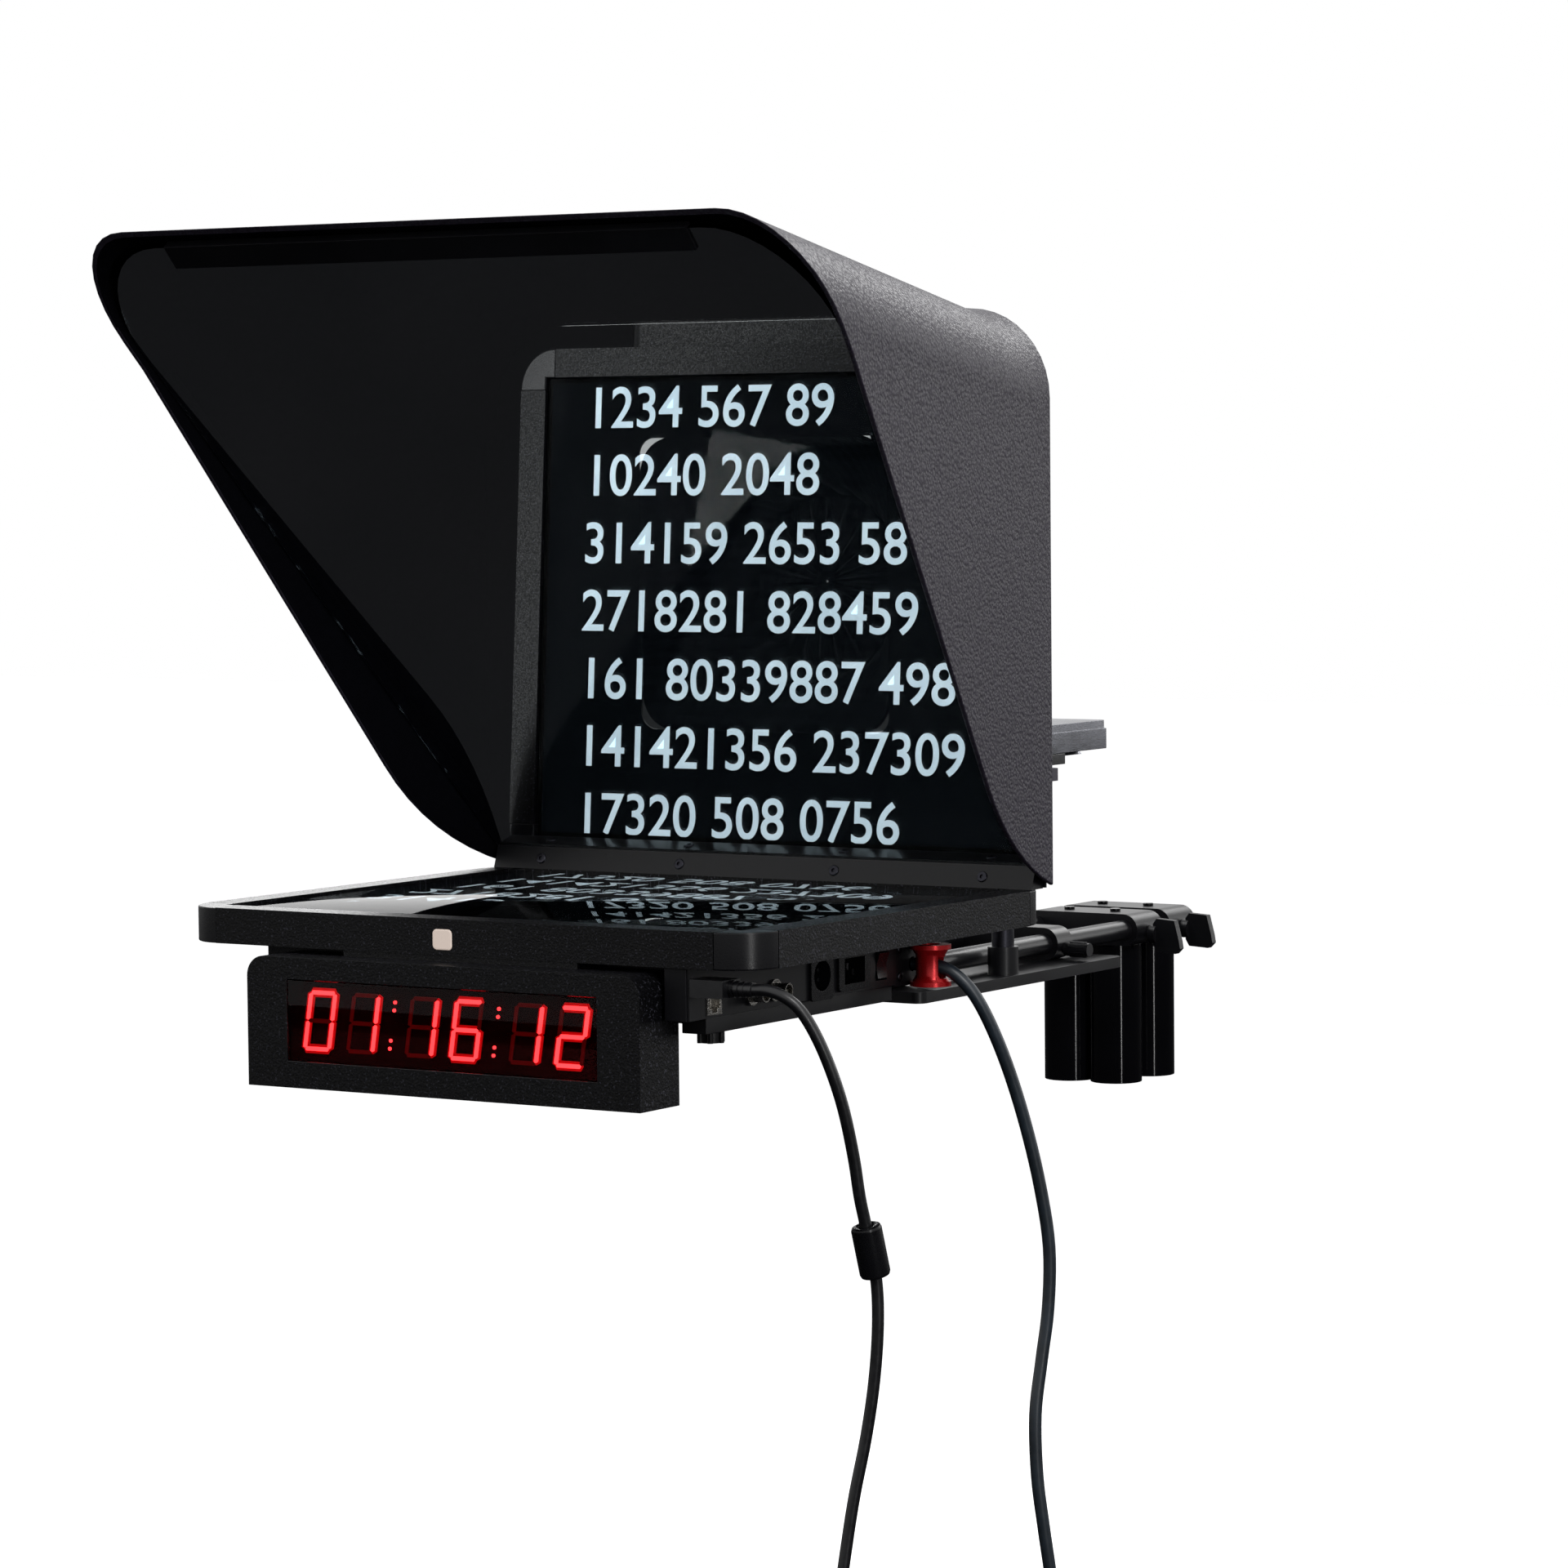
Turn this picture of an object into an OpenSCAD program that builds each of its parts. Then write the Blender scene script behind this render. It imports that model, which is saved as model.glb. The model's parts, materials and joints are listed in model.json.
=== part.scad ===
// Studio teleprompter: monitor, beam-splitter glass and hood on a rod-mounted carriage.
// Millimetres. X to the talent's left, Y toward the camera, Z up.
// The origin is the centre of the mounting face, under the base plate.

/* [Monitor] */
// Width of the monitor frame
monitor_w = 440; // [432:1:450]
// Depth of the monitor frame, front to rear
monitor_d = 363; // [360:1:366]
// Height of the monitor frame
monitor_h = 23; // [21:0.5:25]
// Width of the two side rails
side_rail_w = 21; // [18:0.5:24]
// Width of the front and rear rails
end_rail_w = 20; // [18:0.5:23]
// Outer radius of the moulded corner caps
cap_r = 28; // [25:1:32]
// Distance of the screen's face below the frame's top
screen_drop = 2; // [1:0.5:4]
// Height of the monitor's top face over the mounting face
deck_z = 92; // [90:1:96]
// Distance of the monitor's front face ahead of the mount
front_reach = 500; // [495:1:510]

/* [Glass] */
// Tilt of the glass from the monitor's face, in degrees
glass_tilt = 47; // [46.5:0.1:47.2]
// Thickness of the beam-splitter glass
glass_t = 3; // [2:0.5:4]
// Length of the glass along its slope
glass_len = 561; // [550:1:562]
// Half length of the strip that clips the glass's top edge
strip_half = 198; // [150:1:205]

/* [Hood] */
// Width of the hood at its rear edge
hood_w = 445; // [444:1:448]
// Height of the hood's rear part over the monitor
hood_h = 382; // [381:1:390]
// Length of the level stretch of the roof
hood_flat = 41; // [30:1:60]
// Rise of the roof from its level stretch to the rim
hood_rise = 50; // [49:1:60]
// Outward flare of each side per millimetre of length
hood_flare = 0.155; // [0.15:0.005:0.17]
// Radius of the hood's upper corners
hood_r = 60; // [50:1:62]
// Wall thickness of the hood
hood_t = 3.5; // [2.5:0.5:3.5]
// Length of the hood from its rear edge to the rim's top
hood_len = 403.5; // [403:0.5:408]

/* [Rear panel] */
// Width and height of the opening for the lens
lens_open = 200; // [160:5:230]
// Height of the lens axis over the monitor
lens_z = 200; // [190:1:215]
// Diameter of the small end of the lens sleeve
sleeve_d = 130; // [100:5:150]
// Length of the lens sleeve
sleeve_len = 94; // [70:2:110]

/* [Rods] */
// Diameter of the two rods
rod_d = 15; // [14:0.5:16]
// Distance between the rods' axes
rod_gap = 75; // [72:1:78]
// Height of the rods' axes over the mounting face
rod_z = 20; // [19.5:0.5:20.5]
// Distance of the rods' front ends ahead of the mount
rod_front = 437; // [430:1:438]
// Distance of the rods' rear ends behind the mount
rod_rear = 393; // [390:1:400]
// Radial clearance of a clamp that slides on the rods
rod_fit = 0.05; // [0.02:0.01:0.1]
// Outer radius of a clamp around a rod
lobe_r = 12; // [11.5:0.25:12]

/* [Base and riser] */
// Thickness of the base plate
base_t = 8; // [6:1:8]
// Width of the base plate
base_w = 146; // [144:1:160]
// Thread diameter of the main mounting hole
mount_d = 9.5; // [9.5:0.1:10]
// Distance between the riser's two columns
column_gap = 120; // [116:1:124]
// Diameter of the riser's columns
column_d = 16; // [14:0.5:17]
// Height of the top of the columns over the mounting face
column_top = 146; // [140:1:150]
// Thickness of the camera plate
plate_t = 15; // [12:1:16]
// Length of the camera plate
plate_len = 282; // [260:2:290]

/* [Counterweights] */
// Diameter of each counterweight
weight_d = 39; // [34:1:39.5]
// Height of each counterweight
weight_h = 105; // [80:1:120]
// Distance between the two rows of counterweights
weight_pitch = 52; // [50:1:56]

/* [Clock] */
// Width of the clock's housing
clock_w = 301; // [290:1:304]
// Height of the clock's housing
clock_h = 83; // [75:1:90]
// Depth of the clock's housing
clock_d = 43; // [38:1:44]
// Height of each digit
digit_h = 38; // [30:1:42]

/* [Cords] */
// Diameter of the video cord
video_d = 7.5; // [6:0.5:8]
// Diameter of the mains cord
mains_d = 8.5; // [7:0.5:9]

/* [Hidden] */
$fn = 48;

gap = 0.3;
screw_fit = 0.05;
rod_r = rod_d / 2;
bore_r = rod_r + rod_fit;
rod_x = rod_gap / 2;
knob_z = rod_z - 4;
knob_screw_r = 3;
block_half = rod_x + lobe_r;

// Places along Y of the clamps on the rods.
base_clamp_len = 22;
base_clamp_ys = [-35, 184];
carriage_clamp_len = 24;
carriage_clamp_ys = [-382, -270];
weight_block_len = 40;
weight_ys = [314, 314 + weight_pitch];

// Levels of the riser and the camera plate.
column_x = column_gap / 2;
column_y = 75;
socket_top = 28;
head_z0 = 100;
head_plate_z = 142;
head_plate_t = 9;
head_plate_y = 102;
rail_z = head_plate_z + head_plate_t;
rail_h = 7.7;
rail_len = 192;
rail_half_w = 46;
slab_z = rail_z + rail_h + gap;
plate_half_w = 45;
ledge_t = 6;
tongue_h = 5;
plate_y0 = -20;
screw_y = plate_y0 + plate_len - 22;
lever_y = 30;
lever_z = rail_z + rail_h / 2;
lever_pin_r = 2.5;

// Frame of the monitor's parts: y runs rearward from its front face, z up from its top face.
opening_w = monitor_w - 2 * side_rail_w;
opening_d = monitor_d - 2 * end_rail_w;
cap_len = cap_r + 1;
box_half = clock_w / 2 + 19.5;
box_y0 = 2;
box_y1 = 245;
box_wall = 2;
plate_z = rod_z + lobe_r - deck_z;
carriage_t = 4;
box_z0 = plate_z + carriage_t;
panel_x = box_half;
panel_t = 1.6;
clock_y0 = -20;
clock_z1 = -monitor_h - 4;
clock_wall = 2.5;
window_w = 238;
window_h = 52;
window_z = clock_z1 - 14 - window_h / 2;
board_post_x = window_w / 2 + 8;
board_post_z = 22;
board_depth = 5;
recess_half = clock_w / 2 + 3.5;
recess_y = clock_y0 + clock_d + 3.5;

// Lower edge of the glass, and the hood's rear edge.
bar_y = monitor_d - end_rail_w;
hood_y = bar_y + 18.5;
glass_y = bar_y + 10;
glass_z = 11;
panel_y = bar_y + 14;
glass_cos = cos(glass_tilt);
glass_sin = sin(glass_tilt);
roof_slope = hood_rise / (hood_len - hood_flat);

// Cord routes by hand: x from the connector panel, y and z in the object's own frame.
// Each ends where its coil begins.
function from_panel(route) = [for (p = route) p + [panel_x, 0, 0]];
video_route = from_panel([
    [53, -488, 57], [63, -487, 54], [72, -483, 46], [79, -477, 31], [85, -470, 10],
    [89, -462, -15], [91, -454, -45], [92, -449, -70], [93, -444, -88], [95, -436, -120],
    [95, -434, -150], [92, -434, -185], [87, -436, -220], [81, -440, -255], [77, -443, -285],
    [74, -446, -315], [73, -447, -345], [73, -447, -370]
]);
ferrite_index = 8;
mains_route = from_panel([
    [1, -232, 48], [14, -232, 48], [23, -230, 46], [32, -227, 40], [41, -222, 28],
    [48, -213, 7], [54, -201, -23], [60, -190, -60], [65, -181, -100], [68, -175, -140],
    [67, -175, -180], [64, -179, -215], [62, -184, -250], [63, -184, -290],
    [66, -181, -325], [69, -177, -360], [70, -175, -390], [70, -175, -420]
]);
coil_turns = 4.125;
video_coil_r = 38;
mains_coil_r = 48;
tail_len = 62;

module on_deck() {
    translate([0, -front_reach, deck_z]) children();
}

// Solid drawn on the XZ plane and extruded along +Y from y0.
module along_y(y0, length) {
    translate([0, y0 + length, 0]) rotate([90, 0, 0]) linear_extrude(length) children();
}

// Solid drawn on the YZ plane and extruded along +X from x0.
module along_x(x0, length) {
    translate([x0, 0, 0]) rotate([90, 0, 90]) linear_extrude(length) children();
}

module box(low, high) {
    translate(low) cube(high - low);
}

module round_rect(w, d, r) {
    square([w - 2 * r, d], center = true);
    square([w, d - 2 * r], center = true);
    for (sx = [-1, 1], sy = [-1, 1])
        translate([sx * (w / 2 - r), sy * (d / 2 - r)]) circle(r);
}

module rod_pair(radius, y0, y1) {
    for (s = [-1, 1])
        translate([s * rod_x, y0, rod_z]) rotate([-90, 0, 0]) cylinder(r = radius, h = y1 - y0);
}

// Block with a round lobe about each rod, drawn on the XZ plane.
module clamp_profile() {
    translate([-rod_x, rod_z - lobe_r]) square([2 * rod_x, 2 * lobe_r]);
    for (s = [-1, 1]) translate([s * rod_x, rod_z]) circle(lobe_r);
}

// Clamp block centred at y, bored for the rods and for a side knob's screw.
module rod_clamp(y, length) {
    difference() {
        along_y(y - length / 2, length) clamp_profile();
        rod_pair(bore_r, y - length, y + length);
        translate([rod_x, y, knob_z]) rotate([0, 90, 0])
            cylinder(r = knob_screw_r + screw_fit, h = 2 * lobe_r);
    }
}

// Screw of a side knob, from the rod's flank out to the block's face.
module knob_screw(y) {
    tip = rod_x + rod_r + 0.6;
    translate([tip, y, knob_z]) rotate([0, 90, 0])
        cylinder(r = knob_screw_r, h = block_half + 1 - tip);
}

module side_knob(y) {
    knob_screw(y);
    translate([block_half + 0.5, y, knob_z]) rotate([0, 90, 0]) cylinder(d = 10, h = 20);
    for (i = [0 : 5])
        translate([block_half + 4, y, knob_z]) rotate([i * 60, 0, 0])
            box([0, -1, 4.4], [14, 1, 5.6]);
}

module wing_knob(y) {
    knob_screw(y);
    translate([block_half + 0.5, y, knob_z]) rotate([0, 90, 0]) cylinder(d = 14, h = 6);
    translate([block_half + 4, y + 3, knob_z]) rotate([90, 0, 0])
        linear_extrude(6)
            polygon([[0, -8], [3, -13], [19, -14], [23, -10], [22, -4], [18, 11], [3, 12], [0, 8]]);
}

// ---- Base, rods and riser ----

module base_plate() {
    length = 290;
    color("#232327") difference() {
        union() {
            translate([0, length / 2 - 60, 0]) linear_extrude(base_t) round_rect(base_w, length, 8);
            for (s = [-1, 1]) translate([s * column_x, column_y, base_t])
                cylinder(d = column_d + 6, h = socket_top - base_t);
        }
        for (s = [-1, 1]) translate([s * column_x, column_y, 2])
            cylinder(d = column_d, h = socket_top);
        translate([0, 0, -1]) cylinder(d = mount_d, h = base_t + 2);
        for (y = [30, 110]) translate([0, y, -1]) cylinder(d = 6.35, h = base_t + 2);
    }
}

module base_clamps() {
    color("#1d1d20") for (y = base_clamp_ys)
        intersection() {
            rod_clamp(y, base_clamp_len);
            box([-block_half - 1, y - base_clamp_len, base_t], [block_half + 1, y + base_clamp_len, 60]);
        }
}

module rods() {
    color("#2b2b2e") difference() {
        rod_pair(rod_r, -rod_front, rod_rear);
        rod_pair(rod_r - 2, -rod_front - 1, rod_rear + 1);
    }
}

module rod_caps() {
    color("#151515") {
        rod_pair(rod_r, -rod_front - 2, -rod_front);
        rod_pair(rod_r - 2, -rod_front, -rod_front + 8);
        rod_pair(rod_r, rod_rear, rod_rear + 2);
        rod_pair(rod_r - 2, rod_rear - 8, rod_rear);
    }
}

module riser_columns() {
    color("#35353b") for (s = [-1, 1]) translate([s * column_x, column_y, 2])
        cylinder(d = column_d, h = column_top - 2);
}

module base_knob_front() {
    color("#17171a") side_knob(base_clamp_ys[0]);
}

module base_knob_rear() {
    color("#17171a") side_knob(base_clamp_ys[1]);
}

module riser_head() {
    collar_r = column_d / 2 + 5;
    color("#3c3a44") difference() {
        union() {
            for (s = [-1, 1]) translate([s * column_x, column_y, head_z0])
                cylinder(r = collar_r, h = rail_z - head_z0);
            translate([0, head_plate_y, head_plate_z]) linear_extrude(head_plate_t)
                round_rect(column_gap + 12, 96, 6);
        }
        for (s = [-1, 1]) {
            translate([s * column_x, column_y, head_z0 - 1])
                cylinder(r = column_d / 2 + rod_fit, h = 60);
            translate([s * column_x, column_y, head_z0 + 15]) rotate([0, s * 90, 0])
                cylinder(r = knob_screw_r + screw_fit, h = 30);
        }
    }
}

module riser_knob(s) {
    tip = column_d / 2 + 0.4;
    translate([s * column_x, column_y, head_z0 + 15]) rotate([0, s * 90, 0]) {
        translate([0, 0, tip]) cylinder(r = knob_screw_r, h = 6);
        translate([0, 0, column_d / 2 + 5.5]) cylinder(d = 22, h = 12);
        for (i = [0 : 7]) rotate(i * 45) translate([11, 0, column_d / 2 + 5.5])
            cylinder(r = 2, h = 12);
    }
}

module riser_knob_right() {
    color("#17171a") riser_knob(1);
}

module riser_knob_left() {
    color("#17171a") riser_knob(-1);
}

// Dovetail cross-section on the XZ plane, widest at its foot.
module dovetail(neck, foot, z0, height) {
    polygon([[-neck, z0 + height], [neck, z0 + height], [foot, z0], [-foot, z0]]);
}

module rail_clamp() {
    color("#26262a") difference() {
        box([-rail_half_w, 0, rail_z], [rail_half_w, rail_len, rail_z + rail_h]);
        along_y(-1, rail_len + 2)
            dovetail(18 + gap, 22 + gap, slab_z - tongue_h - gap, tongue_h + 0.001);
        translate([rail_half_w - 9, lever_y, lever_z]) rotate([0, 90, 0])
            cylinder(r = lever_pin_r + screw_fit, h = 20);
    }
}

// Cam lever that locks the camera plate, on the rail's right side.
module rail_lever() {
    color("#17171a") translate([rail_half_w, lever_y, lever_z]) {
        translate([-8, 0, 0]) rotate([0, 90, 0]) cylinder(r = lever_pin_r, h = 9);
        translate([0.5, 0, 0]) rotate([0, 90, 0]) cylinder(r = 7, h = 7);
        translate([4, 0, 0]) rotate([90, 0, 0]) linear_extrude(48) round_rect(5, 7, 1.5);
    }
}

module camera_plate() {
    y1 = plate_y0 + plate_len;
    color("#b9b9bd") difference() {
        union() {
            translate([0, (plate_y0 + y1) / 2, slab_z]) linear_extrude(plate_t)
                round_rect(2 * plate_half_w, plate_len, 8);
            translate([0, (plate_y0 + y1) / 2, slab_z + plate_t]) linear_extrude(ledge_t)
                round_rect(2 * plate_half_w - 3, plate_len - 3, 7);
            along_y(plate_y0 + 2, plate_len - 4) dovetail(18, 22, slab_z - tongue_h, tongue_h);
        }
        for (y = [screw_y, screw_y - 25]) translate([0, y, slab_z - tongue_h - 1])
            cylinder(r = 3.2 + screw_fit, h = 40);
        translate([0, screw_y, slab_z - tongue_h - 1]) cylinder(r = 9.5, h = 6.5);
    }
}

// Quarter-inch screw that holds the camera on the plate.
module camera_screw() {
    color("silver") translate([0, screw_y, slab_z - tongue_h + 0.4]) {
        cylinder(r = 9, h = 4.8);
        cylinder(r = 3.2, h = tongue_h + plate_t + ledge_t + 6);
    }
}

// ---- Counterweights ----

module weight_block(y) {
    color("#1b1b1e") difference() {
        rod_clamp(y, weight_block_len);
        for (s = [-1, 1]) translate([s * (weight_d / 2 + 0.25), y, 0])
            cylinder(r = 3, h = 60);
    }
}

module weights(y) {
    color("#0f0f12") for (s = [-1, 1]) translate([s * (weight_d / 2 + 0.25), y, rod_z - lobe_r]) {
        translate([0, 0, -weight_h]) cylinder(d = weight_d, h = weight_h);
        cylinder(r = 3, h = 2 * lobe_r + 1);
        translate([0, 0, 2 * lobe_r]) cylinder(r = 4, h = 2.2);
    }
}

module weight_block_front() {
    weight_block(weight_ys[0]);
}

module weight_block_rear() {
    weight_block(weight_ys[1]);
}

module weights_front() {
    weights(weight_ys[0]);
}

module weights_rear() {
    weights(weight_ys[1]);
}

module wing_knob_front() {
    color("#121215") wing_knob(weight_ys[0]);
}

module wing_knob_rear() {
    color("#121215") wing_knob(weight_ys[1]);
}

// ---- Carriage under the monitor ----

module carriage_plate() {
    color("#1d1d20") on_deck() {
        box([-box_half + 2, 27, plate_z], [box_half - 2, box_y1, plate_z + carriage_t]);
        for (s = [-1, 1]) translate([s * (box_half - 11), 0, 0])
            box([-9, 27, plate_z - 6], [9, box_y1, plate_z]);
    }
}

module carriage_clamps() {
    color("#1d1d20") for (y = carriage_clamp_ys)
        difference() {
            along_y(y - carriage_clamp_len / 2, carriage_clamp_len) clamp_profile();
            rod_pair(bore_r, y - 30, y + 30);
            translate([rod_x, y, rod_z - lobe_r - 1])
                cylinder(r = knob_screw_r + screw_fit, h = lobe_r);
        }
}

// Knob under a carriage clamp: its screw presses the rod from below.
module under_knob(y) {
    low = rod_z - lobe_r;
    color("#17171a") translate([rod_x, y, 0]) {
        translate([0, 0, low - 1]) cylinder(r = knob_screw_r, h = lobe_r - rod_r + 1 - 0.6);
        translate([0, 0, low - 14.5]) cylinder(d = 16, h = 14);
        for (i = [0 : 5]) rotate(i * 60) translate([8, 0, low - 14.5]) cylinder(r = 2, h = 12);
    }
}

module carriage_knob_front() {
    under_knob(carriage_clamp_ys[0]);
}

module carriage_knob_rear() {
    under_knob(carriage_clamp_ys[1]);
}

// ---- Monitor ----

module frame_rails() {
    color("#2a2a2e") on_deck() {
        x1 = monitor_w / 2;
        for (s = [-1, 1])
            translate([s * (x1 - side_rail_w / 2), monitor_d / 2, -monitor_h / 2])
                cube([side_rail_w, monitor_d - 2 * cap_len, monitor_h], center = true);
        difference() {
            box([-x1 + cap_len, 0, -monitor_h], [x1 - cap_len, end_rail_w, 0]);
            tally_shape(0.1, -1, 9);
        }
        box([-x1 + cap_len, monitor_d - end_rail_w, -monitor_h], [x1 - cap_len, monitor_d, 0]);
    }
}

module corner_caps() {
    color("#18181a") on_deck() translate([0, monitor_d / 2, -monitor_h])
        for (s = [-1, 1], e = [-1, 1]) scale([s, e, 1]) corner_cap();
}

// One corner cap, at the +X +Y corner of a frame centred on the origin.
module corner_cap() {
    translate([monitor_w / 2 - cap_len, monitor_d / 2 - cap_len, 0]) linear_extrude(monitor_h)
        difference() {
            union() {
                square([cap_len, cap_len - cap_r]);
                square([cap_len - cap_r, cap_len]);
                intersection() {
                    translate([cap_len - cap_r, cap_len - cap_r]) circle(cap_r);
                    square(cap_len);
                }
            }
            translate([-1, -1]) square([cap_len - side_rail_w + 1, cap_len - end_rail_w + 1]);
        }
}

module back_tray() {
    color("#222225") on_deck()
        box([-opening_w / 2, end_rail_w, -monitor_h], [opening_w / 2, monitor_d - end_rail_w, -monitor_h + 2.5]);
}

module lcd_panel() {
    color("#101418") on_deck()
        box([-opening_w / 2 + 1, end_rail_w + 1, -monitor_h + 2.5],
            [opening_w / 2 - 1, monitor_d - end_rail_w - 1, -screen_drop]);
}

module tally_shape(grow, y0, length) {
    translate([-11, y0, -13]) rotate([-90, 0, 0]) linear_extrude(length)
        round_rect(15 + 2 * grow, 13 + 2 * grow, 3);
}

// Lamp in the front rail that glows when the camera is live.
module tally_lamp() {
    color("#fff0e4") on_deck() tally_shape(0, -0.6, 8.6);
}

// ---- Signal box ----

module box_plan(inset) {
    x1 = box_half - inset;
    x0 = recess_half + inset;
    y0 = box_y0 + inset;
    yr = recess_y + inset;
    y1 = box_y1 - inset;
    polygon([[-x1, yr], [x0, yr], [x0, y0], [x1, y0], [x1, y1], [-x1, y1]]);
}

module signal_box() {
    color("#141416") on_deck() difference() {
        translate([0, 0, box_z0]) linear_extrude(-monitor_h - box_z0) box_plan(0);
        translate([0, 0, box_z0 + box_wall]) linear_extrude(60) box_plan(box_wall);
        box([panel_x - 3, box_y0 + box_wall, box_z0 + box_wall], [panel_x + 1, box_y1 - 6, -monitor_h - 3]);
    }
}

// Places of the connectors on the panel: [y, z].
data_place = [30, -47];
video_place = [12, -35];
bnc_ys = [72, 98];
bnc_z = -45;
xlr_place = [152, -41];
mains_place = [191, -41];
switch_place = [226, -41];
switch_pin_r = 1.2;

module at_panel(place) {
    translate([panel_x, place[0], place[1]]) rotate([90, 0, 90]) children();
}

module connector_panel() {
    color("#0f0f11") on_deck() {
        difference() {
            box([panel_x, 3, box_z0 + 0.5], [panel_x + panel_t, box_y1 - 1, -monitor_h - 0.5]);
            at_panel(data_place) translate([0, 0, 1]) cube([16.2, 13.7, 8], center = true);
            at_panel(video_place) translate([0, 0, 1]) cube([15.2, 6.2, 8], center = true);
            for (y = bnc_ys) at_panel([y, bnc_z]) translate([0, 0, -3]) cylinder(r = 5, h = 8);
            at_panel(xlr_place) translate([0, 0, -3]) cylinder(r = 11.5, h = 8);
            at_panel(mains_place) translate([0, 0, 1]) cube([28, 20.4, 8], center = true);
            at_panel(switch_place) translate([0, 0, 1]) cube([13.4, 19.4, 8], center = true);
        }
        at_panel(switch_place) {
            difference() {
                translate([0, 0, -5]) cube([15.4, 21.4, 10], center = true);
                translate([0, 0, -5]) cube([13.4, 19.4, 12], center = true);
            }
            translate([-7, 0, -1]) rotate([0, 90, 0]) cylinder(r = switch_pin_r, h = 14);
        }
    }
}

// Circuit board and power supply inside the box.
module electronics() {
    color("#1f4d2b") on_deck() {
        x0 = 30 - box_half;
        x1 = box_half - 40;
        y1 = box_y1 - 13;
        box([x0, 60, box_z0 + 6], [x1, y1, box_z0 + 7.6]);
        for (x = [x0 + 10, x1 - 10], y = [70, y1 - 10]) translate([x, y, box_z0 + box_wall])
            cylinder(r = 3, h = 4);
        box([x0 + 5, 90, box_z0 + 7.6], [15, 180, box_z0 + 29]);
        box([40, 110, box_z0 + 7.6], [90, 160, box_z0 + 14]);
    }
}

// Network socket and video socket.
module data_jacks() {
    color("#b9b9b4") on_deck() {
        at_panel(data_place) difference() {
            translate([0, 0, -5]) cube([16, 13.5, 15], center = true);
            translate([0, 1, 0]) cube([11.8, 8, 9], center = true);
            translate([0, -4, 0]) cube([6, 3, 9], center = true);
        }
        at_panel(video_place) difference() {
            translate([0, 0, -4]) cube([15, 6, 12], center = true);
            translate([0, 0, 0]) cube([14.3, 4.9, 8], center = true);
        }
    }
}

module bnc_jacks() {
    color("#c9b98a") on_deck() for (y = bnc_ys) at_panel([y, bnc_z]) {
        difference() {
            union() {
                translate([0, 0, -8]) cylinder(r = 5, h = 12);
                translate([0, 0, panel_t]) cylinder(r = 7, h = 2);
                cylinder(r = 4.8, h = 13);
                translate([-5.6, 0, 9.5]) rotate([0, 90, 0]) cylinder(r = 0.9, h = 11.2);
            }
            translate([0, 0, 4]) cylinder(r = 3.9, h = 12);
        }
        translate([0, 0, 3]) cylinder(r = 1.1, h = 8);
    }
}

module xlr_inlet() {
    color("#1b1b1d") on_deck() at_panel(xlr_place) {
        difference() {
            union() {
                translate([0, 0, panel_t]) linear_extrude(2) round_rect(26, 31, 3);
                translate([0, 0, -16]) cylinder(r = 11.4, h = 18);
            }
            translate([0, 0, -12]) cylinder(r = 9.8, h = 20);
        }
        for (a = [45 : 90 : 315]) rotate(a) translate([4.4, 0, -12.5]) cylinder(r = 1.2, h = 11);
    }
}

module mains_inlet() {
    color("#1b1b1d") on_deck() at_panel(mains_place) {
        difference() {
            union() {
                translate([0, 0, panel_t]) linear_extrude(2) round_rect(38, 25, 3);
                translate([0, 0, -9]) cube([27.6, 20, 22], center = true);
            }
            translate([0, 0, -6]) cube([24.4, 16.4, 20], center = true);
        }
        for (x = [-7, 0, 7]) translate([x, x == 0 ? 2 : -2, -9]) cube([2, 4.4, 14], center = true);
    }
}

// Rocker of the mains switch, on a pin across its middle.
module power_switch() {
    color("#2a0d0d") on_deck() at_panel(switch_place)
        difference() {
            translate([-6, 0, -3]) rotate([90, 0, 90]) linear_extrude(12)
                polygon([[-8.6, 5], [-8.2, 6], [0, 4.6], [8.2, 7.6], [8.8, 5.5], [5, -4], [-5, -4]]);
            translate([-8, 0, -1]) rotate([0, 90, 0]) cylinder(r = switch_pin_r + screw_fit, h = 16);
        }
}

// ---- Clock ----

module clock_outline(inset) {
    r = 13 - inset;
    x1 = clock_w / 2 - inset;
    z1 = clock_z1 - inset;
    z0 = clock_z1 - clock_h + inset;
    translate([-x1, z0]) square([2 * x1, z1 - r - z0]);
    translate([-x1 + r, z0]) square([2 * (x1 - r), z1 - z0]);
    for (s = [-1, 1]) translate([s * (x1 - r), z1 - r]) circle(r);
}

module clock_housing() {
    color("#2c2c30") on_deck() {
        difference() {
            along_y(clock_y0, clock_d) clock_outline(0);
            along_y(clock_y0 + clock_wall, clock_d) clock_outline(clock_wall);
            translate([0, clock_y0, window_z]) cube([window_w, 20, window_h], center = true);
        }
        box([-90, 2, clock_z1], [90, 18, -monitor_h]);
        for (x = [-1, 1], z = [-1, 1])
            translate([x * board_post_x, clock_y0 + clock_wall, window_z + z * board_post_z])
                rotate([-90, 0, 0]) cylinder(r = 3, h = board_depth);
    }
}

module clock_back() {
    color("#202023") on_deck() along_y(clock_y0 + clock_d - 2, 2) clock_outline(clock_wall);
}

module clock_window() {
    color("#3a0508") on_deck() translate([0, clock_y0 + clock_wall + 0.8, window_z])
        cube([window_w + 8, 1.6, window_h + 8], center = true);
}

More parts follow.
